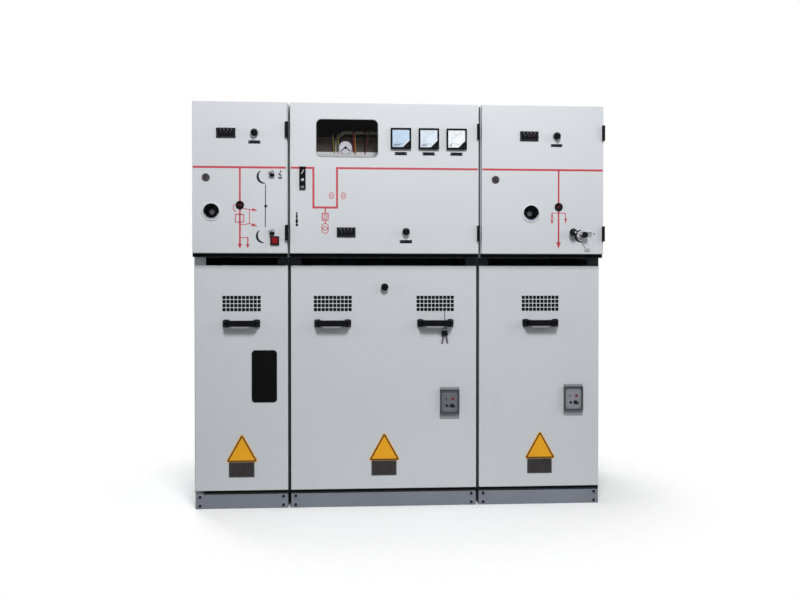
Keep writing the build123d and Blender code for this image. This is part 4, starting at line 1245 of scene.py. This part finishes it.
class RINGMAIN_OT_interlocks(bpy.types.Operator):
    """Add the faceplate, indicator, key lever and screws of each door interlock"""
    bl_idname = "ringmain.interlocks"
    bl_label = "Interlocks"

    def execute(self, context):
        for bay in ("centre", "right"):
            low, high = solid_box(f"{bay}_interlock")
            cx = (low.x + high.x) / 2
            housing_top = high.z - INTERLOCK_HEAD
            cz = housing_top - INTERLOCK_HOUSING / 2
            floor_y = low.y + 6.0
            ink = floor_y - 1.0
            piece = Piece()
            piece.prism(rounded((cx, cz), 64.4, 83.4, 2, 4), ink, floor_y, interlock_face(bay), 0.3)
            self.add_controls(piece, cx, cz, ink)
            for screw in four_corners((cx, cz), 27, 36):
                pan_screw(piece, screw, 4.4, ink, dark_steel(), 0.5)
            plate_front = LOWER_FACE - 2.0
            lower = (low.z + 0.5, housing_top - INTERLOCK_HOUSING - 0.5)
            for foot, head in (lower, (housing_top + 0.5, high.z - 0.5)):
                plate = rectangle((cx, (foot + head) / 2), 76, head - foot)
                piece.prism(plate, plate_front - 0.3, plate_front, grey_plate())
            piece.make(f"interlock_face_{bay}", LOWER_BODY[bay], "zinc_plated_steel")
        return {"FINISHED"}

    def add_controls(self, piece, cx, cz, ink):
        """Red indicator, black studs, the key lever on its hub and a line below them."""
        piece.stud((cx + 12, cz + 11), [(3.4, 2.0), (4.8, 1.4), (5.6, 0)], ink, red_plastic(), 28)
        piece.stud((cx - 14, cz + 11), [(2.0, 1.0), (2.8, 0.6), (3.0, 0)], ink, rubber(), 24)
        hub = (cx + 8, cz - 15)
        piece.stud(hub, [(7.6, 2.2), (8.6, 1.4), (8.8, 0)], ink, dark_steel(), 36)
        piece.stud(hub, [(5.0, 4.6), (6.0, 4.0), (6.4, 2.0)], ink, glossy_black(), 32)
        lever = [(hub[0] + x, hub[1] + z) for x, z in ((-6, 1), (10, -8), (14, -2), (-3, 7))]
        piece.prism(soften(lever, 2.0), ink - 4.9, ink - 2.4, glossy_black(), 0.6)
        piece.stud((cx - 11, cz - 16), [(3.4, 0.8), (5.0, 0.5), (5.4, 0)], ink, rubber(), 28)
        piece.line([(cx - 24, cz - 30), (cx + 24, cz - 30)], 1.2, ink - 0.2, ink, grey_print())


class RINGMAIN_OT_window_and_wiring(bpy.types.Operator):
    """Add the window seals, and the board, shelf lip, dial face and wires seen through the window"""
    bl_idname = "ringmain.window_and_wiring"
    bl_label = "Window and wiring"

    def execute(self, context):
        self.add_seal("window_seal", "centre_window_glass", UPPER_BODY["centre"], UPPER_FACE, 0.8,
                      trim_rubber(), ((2.0, 21.0), (-1.6, 19.2)))
        self.add_seal("inspection_seal", "left_inspection_glass", LOWER_BODY["left"], LOWER_FACE, 1.6,
                      rubber(), ((3.0, 13.5), (-4.0, 10)))
        self.add_board()
        self.add_dial_face()
        self.add_wires()
        return {"FINISHED"}

    def add_seal(self, name, glass, body, face, thickness, finish, edges):
        """Rim round a pane; each edge says how much wider than the opening it is, and its corner radius."""
        low, high = solid_box(glass)
        width, height = high.x - low.x - 2 * PANE_OVERLAP, high.z - low.z - 2 * PANE_OVERLAP
        outer, inner = ((width + wider, height + wider, radius) for wider, radius in edges)
        seal = Piece()
        seal.rim(middle_of(glass), outer, inner, face - thickness, face, finish)
        seal.make(name, body, "rubber_seal")

    def add_board(self):
        """Brown board behind the dial with a black sheet over it, painted shade in the top of the box, and
        the raised front lip of the shelf.
        """
        shelf_low, shelf_high = solid_box("metering_shelf")
        box_high = solid_box("centre_instrument_box")[1]
        lip_front = solid_box("metering_dial")[1].y + 1.0
        left, right = shelf_low.x - 40, shelf_high.x + 40
        front, back = box_high.y - 3.2, box_high.y - 2.2
        top = shelf_high.z + 78
        inside = Piece()
        inside.block((left, front, shelf_high.z - 40), (right, back, top), mounting_board())
        # Black sheet above the board: painted shade in the top of the box
        inside.block((left, front, top), (right, back, box_high.z - 4), rubber())
        inside.block((shelf_low.x, lip_front, shelf_high.z - 0.5),
                     (shelf_high.x, lip_front + 1.2, shelf_high.z + 11), pale_shelf(), 0.4)
        inside.make("mounting_board", "cabinet", "enclosure_paint")

    def add_dial_face(self):
        """Card, rim, two hands and divisions of the round dial."""
        low, high = solid_box("metering_dial")
        radius = (high.x - low.x) / 2
        cx, cz = (low.x + high.x) / 2, high.z - radius
        front = low.y
        ink = front - 0.4
        dial = Piece()
        dial.prism(circle((cx, cz), radius - 1.5, 40), ink, front, lilac_card())
        dial.frame(circle((cx, cz), radius, 40), circle((cx, cz), radius - 1.6, 40), front - 1.2, front,
                   dark_steel())
        for side in (-1, 1):
            hand = [(cx + side, cz + 2), (cx + side * 18, cz - 14)]
            dial.line(hand, 3.6, ink - 0.4, ink, dark_print())
        dial.stud((cx, cz), [(2.8, 2.2), (4.6, 1.6), (5.2, 0)], ink, glossy_black(), 24)
        for mark in range(13):
            angle = math.radians(-30 + 240 * mark / 12)
            ends = [polar((cx, cz), reach, angle) for reach in (20, 23)]
            dial.line(ends, 0.8, ink - 0.15, ink, grey_print())
        dial.make("metering_dial_face", "cabinet", "white_plastic")

    def add_wires(self):
        """Wires that stand on the shelf; their places count from the bay's left edge and the shelf."""
        low, high = solid_box("metering_shelf")
        left_edge = UPPER["centre"][0].x - DOOR_INSET
        y = low.y + 16.5
        wires = Piece()
        for path, radius, name in (
                ([(170, 80), (174, 46), (178, 0)], 1.8, "olive"),
                ([(191, 84), (194, 46), (196, 0)], 1.8, "olive"),
                ([(253, 90), (256, 46), (258, 0)], 2.2, "red"),
                ([(260, 90), (262, 46), (264, 0)], 1.6, "olive"),
                ([(313, 86), (307, 46), (299, 0)], 2.6, "maroon")):
            points = [(left_edge + x, y, high.z + rise) for x, rise in path]
            wires.tube(smooth_path(points), radius, wire_colour(name), 10)
        wires.make("metering_wires", "cabinet", "insulated_wire")


class RINGMAIN_OT_socket_liners(bpy.types.Operator):
    """Add a pale liner in the foot of each operating socket; its colour is a painted highlight where light
    falls on the lower inner wall
    """
    bl_idname = "ringmain.socket_liners"
    bl_label = "Socket liners"

    def execute(self, context):
        radius = SOCKET_BORE / 2 - 0.3
        for bay, place in SOCKETS.items():
            centre = upper_spot(bay, *place)
            lower = arc(centre, radius, 196, 344, 40)
            upper = arc((centre[0], centre[1] + 3.0), radius - 2.4, 341, 199, 40)
            piece = Piece()
            piece.prism(lower + upper, UPPER_FACE - 1.2, UPPER_FACE + 9.0, liner_painted_light())
            piece.make(f"socket_liner_highlight_{bay}", UPPER_BODY[bay], "zinc_plated_steel")
        return {"FINISHED"}


class RINGMAIN_OT_small_padlocks(bpy.types.Operator):
    """Add a small padlock to each tab of the left upper door"""
    bl_idname = "ringmain.small_padlocks"
    bl_label = "Small padlocks"

    def execute(self, context):
        locks = Piece()
        y = UPPER_FACE - 7.0
        bow_width, bow_rise, bow_height = 10.0, 4.0, 12.0
        for place in PADLOCK_TABS:
            x, eye = upper_spot("left", *place)
            body = (x + 3.0, eye - 3.8)
            locks.prism(rounded(body, 19, 11.5, 2.5, 4), y - 5.0, y + 4.6, black_plastic(), 0.8)
            top = eye + bow_height
            bow = [(x + bow_width / 2 * (1 - math.cos(a)), y, top + bow_rise * math.sin(a))
                   for a in steps(9, 0.0, math.pi)]
            legs = [[(x + step, y, body[1]), (x + step, y, top - 2)] for step in (0, bow_width)]
            locks.tube(legs[0] + bow + legs[1][::-1], 1.5, brushed_steel(), 12)
        locks.make("small_padlocks", UPPER_BODY["left"], "zinc_plated_steel")
        return {"FINISHED"}


class RINGMAIN_OT_lever_stud(bpy.types.Operator):
    """Add the end of the stud that holds the ball of the lever, in pale cream as a painted highlight on the
    ball
    """
    bl_idname = "ringmain.lever_stud"
    bl_label = "Lever stud"

    def execute(self, context):
        low, high = solid_box("ball_lever")
        end = (low.x + LEVER_BALL / 2 + 4.4, high.z - LEVER_BALL / 2 - 0.5)
        stud = Piece()
        # Pale cream, not steel: painted highlight on the ball
        stud.stud(end, [(2.0, -0.1), (3.4, -0.5), (3.8, -2.6)], low.y, cream_plastic(), 28)
        stud.make("lever_stud_highlight", "lever", "zinc_plated_steel")
        return {"FINISHED"}


class RINGMAIN_OT_vent_screens(bpy.types.Operator):
    """Add dark rims round the ventilation holes and a dark screen behind them, painted shade in and behind
    the holes
    """
    bl_idname = "ringmain.vent_screens"
    bl_label = "Vent screens"

    def execute(self, context):
        behind = LOWER_FACE + 2.1
        edge, hole_size = (VENT_HOLE + 1.4, VENT_HOLE + 1.4, 2.7), (VENT_HOLE, VENT_HOLE, 2.0)
        for bay, middles in VENT_MIDDLES.items():
            screen, edges = Piece(), Piece()
            for from_left in middles:
                spot = lower_spot(bay, from_left, VENT_DROP)
                # Black sheet and near-black rim behind the holes: painted shade of the compartment
                screen.prism(rounded(spot, 160, 70, 5, 4), behind, behind + 2.4, rubber())
                screen.rim(spot, (166, 76, 7), (156, 66, 4), behind, behind + 3.4, painted_shade(), 4)
                for hole in self.holes(spot):
                    # Dark rims: painted shade at the edges of the holes
                    edges.rim(hole, edge, hole_size, LOWER_FACE - 0.15, LOWER_FACE, vent_edge_shade(), 3)
            screen.make(f"vent_shade_screen_{bay}", LOWER_BODY[bay], "black_plastic")
            edges.make(f"vent_edges_{bay}", LOWER_BODY[bay], "black_plastic")
        return {"FINISHED"}

    def holes(self, middle):
        """Middles of the holes of one field, column by column from the upper left."""
        columns = [(k - (VENT_COLUMNS - 1) / 2) * VENT_PITCH[0] for k in range(VENT_COLUMNS)]
        rows = [(k - (VENT_ROWS - 1) / 2) * VENT_PITCH[1] for k in range(VENT_ROWS)]
        return [(middle[0] + x, middle[1] - drop) for x in columns for drop in rows]


class RINGMAIN_OT_plinth_strips(bpy.types.Operator):
    """Add dark rubber strips on each plinth's top edge and under the foot of its door, painted shade along
    the plinth and in the gap under the door
    """
    bl_idname = "ringmain.plinth_strips"
    bl_label = "Plinth strips"

    def execute(self, context):
        behind = LOWER_FACE + 8.0
        for bay in BAYS:
            low, high = solid_box(f"{bay}_plinth")
            start = low.x + (32.0 if bay == "left" else 0.0)
            door_foot = LOWER[bay][0].z
            piece = Piece()
            # Both strips are painted shade: the dark line on the plinth's top edge and the dark gap under
            # the door
            piece.block((start, low.y - 0.5, high.z - 3.4), (high.x, low.y, high.z - 0.1), rubber(), 0.2)
            piece.block((start, behind, high.z + 0.1), (high.x, behind + 2.0, door_foot - 0.5), rubber(),
                        0.2)
            piece.make(f"plinth_shade_strip_{bay}", "cabinet", "rubber_seal")
        return {"FINISHED"}


class RINGMAIN_OT_chained_pin(bpy.types.Operator):
    """Add the small pin that hangs on a short chain beside the ball lever"""
    bl_idname = "ringmain.chained_pin"
    bl_label = "Chained pin"

    def execute(self, context):
        start, end = Vector(upper_spot("right", 404, 48)), Vector(upper_spot("right", 424, 21))
        ahead = (end - start).normalized()
        piece = Piece()
        for k in range(CHAIN_LINKS):
            self.add_link(piece, start.lerp(end, (k + 0.5) / CHAIN_LINKS), ahead, k % 2 == 0)
        piece.stud(start, [(1.4, 2.6), (2.6, 2.0), (2.8, 0)], UPPER_FACE, dark_steel(), 20)
        pin = soften(rectangle((end.x + 4, end.y - 4), 20, 11), 2.5)
        piece.prism(pin, UPPER_FACE - 3.4, UPPER_FACE - 0.2, chain_metal(), 0.6)
        piece.make("chained_pin", UPPER_BODY["right"], "zinc_plated_steel")
        return {"FINISHED"}

    def add_link(self, piece, middle, ahead, flat):
        """One oval link, which lies flat on the door or stands on its edge."""
        side = Vector((-ahead.y, ahead.x))
        y = UPPER_FACE - 1.7
        path = []
        for turn in steps(14):
            along, across = 2.4 * math.cos(turn), 1.25 * math.sin(turn)
            point = middle + ahead * along + side * (across if flat else 0.0)
            path.append((point.x, y if flat else y + across * 0.8, point.y))
        piece.tube(path, 0.5, chain_metal(), 8, closed=True)


class RINGMAIN_OT_key_heads(bpy.types.Operator):
    """Add the moulded heads of the hanging keys"""
    bl_idname = "ringmain.key_heads"
    bl_label = "Key heads"

    def execute(self, context):
        ring = Vector((middle_of("door_keys")[0], solid_box("door_keys")[0].z + KEY_RING_RISE))
        y = LOWER_FACE - 4.0
        piece = Piece()
        for lean, half_width, lift in ((-12, 8, 0.0), (12, 10, 1.6)):
            angle = math.radians(lean)
            down = Vector((-math.sin(angle), -math.cos(angle)))
            side = Vector((math.cos(angle), -math.sin(angle)))
            middle = ring + down * 17.0
            corners = [middle + side * sx * half_width + down * sz * 10
                       for sx, sz in ((-1, 1), (1, 1), (1, -1), (-1, -1))]
            outline = soften([(c.x, c.y) for c in corners], 5)
            piece.prism(outline, y - 2.8 - lift, y + 0.2 - lift, glossy_black(), 0.8)
        piece.make("key_heads", LOWER_BODY["centre"], "black_plastic")
        return {"FINISHED"}


# Fixings


class RINGMAIN_OT_fixings(bpy.types.Operator):
    """Add the plinth bolts, the handle screws and the cover screws of the rear walls and roofs"""
    bl_idname = "ringmain.fixings"
    bl_label = "Fixings"

    def execute(self, context):
        dice = random.Random(7)
        self.add_plinth_bolts(dice)
        self.add_cover_screws(dice)
        self.add_flap_screws(dice)
        self.add_handle_screws(dice)
        return {"FINISHED"}

    def add_plinth_bolts(self, dice):
        """Two rows of bolts near the ends of each channel, on all four sides."""
        low, high = solid_box("left_plinth")[0], solid_box("right_plinth")[1]
        columns = []
        for bay in BAYS:
            plinth = solid_box(f"{bay}_plinth")
            columns += [plinth[0].x + 18, plinth[1].x - 18]
        depths = (low.y + 40, (low.y + high.y) / 2, high.y - 40)
        sides = (
            ("front", columns, low.y, 4.0, 0.0),
            ("rear", [-x for x in columns], -high.y, 3.0, math.pi),
            ("left", [-y for y in depths], -abs(low.x), 2.6, -math.pi / 2),
            ("right", depths, -abs(high.x), 2.6, math.pi / 2),
        )
        for name, places, face, height, turn in sides:
            bolts = Piece()
            for x in places:
                for z in BOLT_ROWS:
                    hex_bolt(bolts, (x, z), values("fixing").plinth_bolt, face, height, dice.uniform(0, 1))
            bolts.turn(turn, "Z")
            bolts.make(f"plinth_bolts_{name}", "cabinet", "zinc_plated_steel")

    def add_cover_screws(self, dice):
        """Eight screws down each side of the rear walls."""
        low, high = solid_box("rear_walls")
        screw = values("fixing").cover_screw
        rows = [low.z + 25 + k * (high.z - low.z - 50) / 7 for k in range(8)]
        covers = Piece()
        for bay in BAYS:
            for x in (UPPER[bay][0].x - DOOR_INSET + 16, UPPER[bay][1].x + DOOR_INSET - 16):
                for z in rows:
                    turn = dice.uniform(0, 3)
                    pan_screw(covers, (-x, z), screw, -high.y, plated_steel(), turn, 2.0 / screw)
        covers.turn(math.pi, "Z")
        covers.make("rear_cover_screws", "cabinet", "zinc_plated_steel")

    def add_flap_screws(self, dice):
        """A row of screws along the front and the back of each relief flap."""
        high = solid_box("roofs")[1]
        screw = values("fixing").cover_screw
        flap = Piece()
        for bay in BAYS:
            left = UPPER[bay][0].x - DOOR_INSET + FLAP_MARGIN
            right = UPPER[bay][1].x + DOOR_INSET - FLAP_MARGIN
            count = max(3, int((right - left) / 110) + 1)
            for k in range(count):
                x = left + 12 + (right - left - 24) * k / (count - 1)
                for y in (high.y - FLAP_MARGIN - FLAP_DEPTH - 9, high.y - FLAP_MARGIN + 9):
                    turn = dice.uniform(0, 3)
                    pan_screw(flap, (x, y), screw, 2.0 - high.z, plated_steel(), turn, 1.5 / screw)
        flap.turn(-math.pi / 2, "X")
        flap.make("roof_flap_screws", "cabinet", "zinc_plated_steel")

    def add_handle_screws(self, dice):
        """A sunk screw in each foot of the handles."""
        for bay in BAYS:
            low, high = solid_box("centre_door_handles" if bay == "centre" else f"{bay}_door_handle")
            caps = Piece()
            ends = (low.x + HANDLE_LENGTH / 2, high.x - HANDLE_LENGTH / 2)
            for x in ends if bay == "centre" else ends[:1]:
                for side in (-1, 1):
                    spot = (x + side * 59.5, (low.z + high.z) / 2)
                    pan_screw(caps, spot, 9.6, LOWER_FACE - 7.0, dark_steel(), dice.uniform(0, 3), 0.28)
            caps.make(f"handle_screws_{bay}", LOWER_BODY[bay], "black_plastic")


class RINGMAIN_OT_door_seals(bpy.types.Operator):
    """Add the rubber seals on the front lips of the instrument boxes, and a dark strip of painted shade on
    each lip under its door
    """
    bl_idname = "ringmain.door_seals"
    bl_label = "Door seals"

    def execute(self, context):
        for bay in BAYS:
            low, high = solid_box(f"{bay}_instrument_box")
            door_low, door_high = UPPER[bay]
            middle = (low.x + high.x) / 2
            width, height = door_high.x - door_low.x - 8, door_high.z - door_low.z - 8
            centre = (middle, (door_low.z + door_high.z) / 2)
            foot = (middle, (low.z + door_low.z) / 2)
            piece = Piece()
            inner = (width - 11, height - 11, 2)
            piece.rim(centre, (width, height, 4), inner, low.y - 5.0, low.y, rubber(), 3)
            # Dark strip on the lip under the door: painted shade
            piece.prism(rectangle(foot, high.x - low.x - 0.4, door_low.z - low.z + 3.0), low.y - 0.4, low.y,
                        rubber())
            piece.make(f"door_seal_and_shade_{bay}", "cabinet", "rubber_seal")
        return {"FINISHED"}


# Studio

# The studio is in metres. Each lamp has a name, place, aim, width and share of the front lamp's power
LAMPS = (
    ("key_lamp", (0.10, -3.1, 3.25), (0.0, -0.4, 0.8), 0.9, 1.0),
    ("side_lamp", (4.2, -2.2, 2.2), (0.0, 0.0, 0.8), 2.4, 0.55),
    ("fill_lamp", (-4.2, -1.2, 2.0), (0.0, 0.0, 0.7), 2.4, 0.34),
    ("rear_lamp", (-2.0, 4.4, 2.8), (0.0, 0.0, 0.8), 3.0, 1.9),
)
CAMERA_PLACE = (-0.2553, -4.0131, 0.8673)
# Degrees that the camera looks down and turns aside
CAMERA_DROP, CAMERA_TURN = 0.685, -4.016
FLOOR_REACH = 14.0


class RINGMAIN_OT_studio(bpy.types.Operator):
    """Set the floor, the lamps, the world and the camera"""
    bl_idname = "ringmain.studio"
    bl_label = "Studio"

    def execute(self, context):
        scene = context.scene
        studio = values("studio")
        self.add_floor(scene, studio)
        for name, place, target, width, share in LAMPS:
            self.add_lamp(scene, name, place, target, width, studio.lamp_power * share)
        scene.world = studio_world(studio.world_level)
        self.add_camera(scene, studio)
        scene.view_settings.view_transform = "Standard"
        return {"FINISHED"}

    def add_floor(self, scene, studio):
        """One large square under the unit."""
        mesh = bpy.data.meshes.new("floor")
        corners = [(x, z, 0) for x, z in rectangle((0, 0), 2 * FLOOR_REACH, 2 * FLOOR_REACH)]
        mesh.from_pydata(corners, [], [(0, 1, 2, 3)])
        paint = floor_paint(studio.floor, studio.floor_bounce, studio.floor_fade, studio.floor_end)
        mesh.materials.append(paint)
        floor = bpy.data.objects.new("floor", mesh)
        scene.collection.objects.link(floor)

    def add_lamp(self, scene, name, place, target, width, power):
        """Square lamp that looks at its target."""
        data = bpy.data.lights.new(name, "AREA")
        data.shape = "SQUARE"
        data.size = width
        data.energy = power
        lamp = bpy.data.objects.new(name, data)
        scene.collection.objects.link(lamp)
        lamp.location = place
        lamp.rotation_euler = (Vector(target) - Vector(place)).to_track_quat("-Z", "Y").to_euler()

    def add_camera(self, scene, studio):
        """Camera in front of the unit, a little left of its middle."""
        data = bpy.data.cameras.new("camera")
        data.sensor_width = 36.0
        data.lens = studio.focal_length
        camera = bpy.data.objects.new("camera", data)
        scene.collection.objects.link(camera)
        camera.location = CAMERA_PLACE
        camera.rotation_euler = [math.radians(turn) for turn in (90 - CAMERA_DROP, 0.0, CAMERA_TURN)]
        scene.camera = camera


def studio_world(level):
    """Soft light from all sides; the camera, mirrors and panes see plain white instead."""
    world = bpy.data.worlds.new("studio_world")
    world.use_nodes = True
    nodes, links = world.node_tree.nodes, world.node_tree.links
    nodes.clear()
    mix = nodes.new("ShaderNodeMixShader")
    for socket, colour, strength in ((1, (0.97, 0.985, 1.0, 1), level), (2, (1, 1, 1, 1), 1.0)):
        background = nodes.new("ShaderNodeBackground")
        background.inputs["Color"].default_value = colour
        background.inputs["Strength"].default_value = strength
        links.new(background.outputs[0], mix.inputs[socket])
    path = nodes.new("ShaderNodeLightPath")
    seen = path.outputs["Is Camera Ray"]
    for ray in ("Is Transmission Ray", "Is Glossy Ray"):
        either = nodes.new("ShaderNodeMath")
        either.operation = "MAXIMUM"
        links.new(seen, either.inputs[0])
        links.new(path.outputs[ray], either.inputs[1])
        seen = either.outputs[0]
    links.new(seen, mix.inputs[0])
    output = nodes.new("ShaderNodeOutputWorld")
    links.new(mix.outputs[0], output.inputs["Surface"])
    return world


def floor_paint(colour, bounce, near, far):
    """Matt pale floor that ends softly between two distances and throws back only a share of its light."""
    material, nodes, links, shader = new_material("floor_paint")
    place = nodes.new("ShaderNodeTexCoord").outputs["Object"]
    distance = nodes.new("ShaderNodeVectorMath")
    distance.operation = "LENGTH"
    links.new(place, distance.inputs[0])
    fade = remap(nodes, links, distance.outputs["Value"], (1.0, 0.0), (near, far))
    fade.node.interpolation_type = "SMOOTHSTEP"
    links.new(fade, shader.inputs["Alpha"])
    tone = noise(nodes, links, place, 0.6, 2.0)
    seen = nodes.new("ShaderNodeMix")
    seen.data_type = "RGBA"
    links.new(nodes.new("ShaderNodeLightPath").outputs["Is Camera Ray"], seen.inputs[0])
    seen.inputs[6].default_value = (bounce, bounce, bounce, 1)
    links.new(two_tones(nodes, links, tone, [c * 0.985 for c in colour], colour), seen.inputs[7])
    links.new(seen.outputs[2], shader.inputs["Base Color"])
    shader.inputs["Roughness"].default_value = 0.85
    shader.inputs["Specular IOR Level"].default_value = 0.1
    return material


# Add-on

OPERATORS = (
    RINGMAIN_OT_solid_finishes,
    RINGMAIN_OT_mimic_lines,
    RINGMAIN_OT_printed_marks,
    RINGMAIN_OT_blank_signs,
    RINGMAIN_OT_meter_dials,
    RINGMAIN_OT_display_fronts,
    RINGMAIN_OT_selector_marks,
    RINGMAIN_OT_position_indicators,
    RINGMAIN_OT_locks,
    RINGMAIN_OT_interlocks,
    RINGMAIN_OT_window_and_wiring,
    RINGMAIN_OT_socket_liners,
    RINGMAIN_OT_small_padlocks,
    RINGMAIN_OT_lever_stud,
    RINGMAIN_OT_vent_screens,
    RINGMAIN_OT_plinth_strips,
    RINGMAIN_OT_chained_pin,
    RINGMAIN_OT_key_heads,
    RINGMAIN_OT_fixings,
    RINGMAIN_OT_door_seals,
    RINGMAIN_OT_studio,
)


GROUPS = {
    "paint": PaintValues,
    "marking": MarkingValues,
    "instrument": InstrumentValues,
    "fixing": FixingValues,
    "studio": StudioValues,
}


class RINGMAIN_PT_panel(bpy.types.Panel):
    """A button for each group of pieces, and the values that they read"""
    bl_idname = "RINGMAIN_PT_panel"
    bl_label = "Ring main unit"
    bl_space_type = "VIEW_3D"
    bl_region_type = "UI"
    bl_category = "Ring main"

    def draw(self, context):
        for operator in OPERATORS:
            self.layout.operator(operator.bl_idname)
        for name, group in GROUPS.items():
            box = self.layout.box()
            for value in group.__annotations__:
                box.prop(values(name), value)


def register():
    for group in GROUPS.values():
        bpy.utils.register_class(group)
    for operator in OPERATORS:
        bpy.utils.register_class(operator)
    bpy.utils.register_class(RINGMAIN_PT_panel)
    for name, group in GROUPS.items():
        setattr(bpy.types.Scene, f"unit_{name}", PointerProperty(type=group))


def unregister():
    for name in GROUPS:
        delattr(bpy.types.Scene, f"unit_{name}")
    for cls in (RINGMAIN_PT_panel, *reversed(OPERATORS), *reversed(list(GROUPS.values()))):
        bpy.utils.unregister_class(cls)


def main():
    register()
    for operator in OPERATORS:
        group, _, action = operator.bl_idname.partition(".")
        getattr(getattr(bpy.ops, group), action)()
    bpy.context.view_layer.update()


if __name__ == "__main__":
    main()
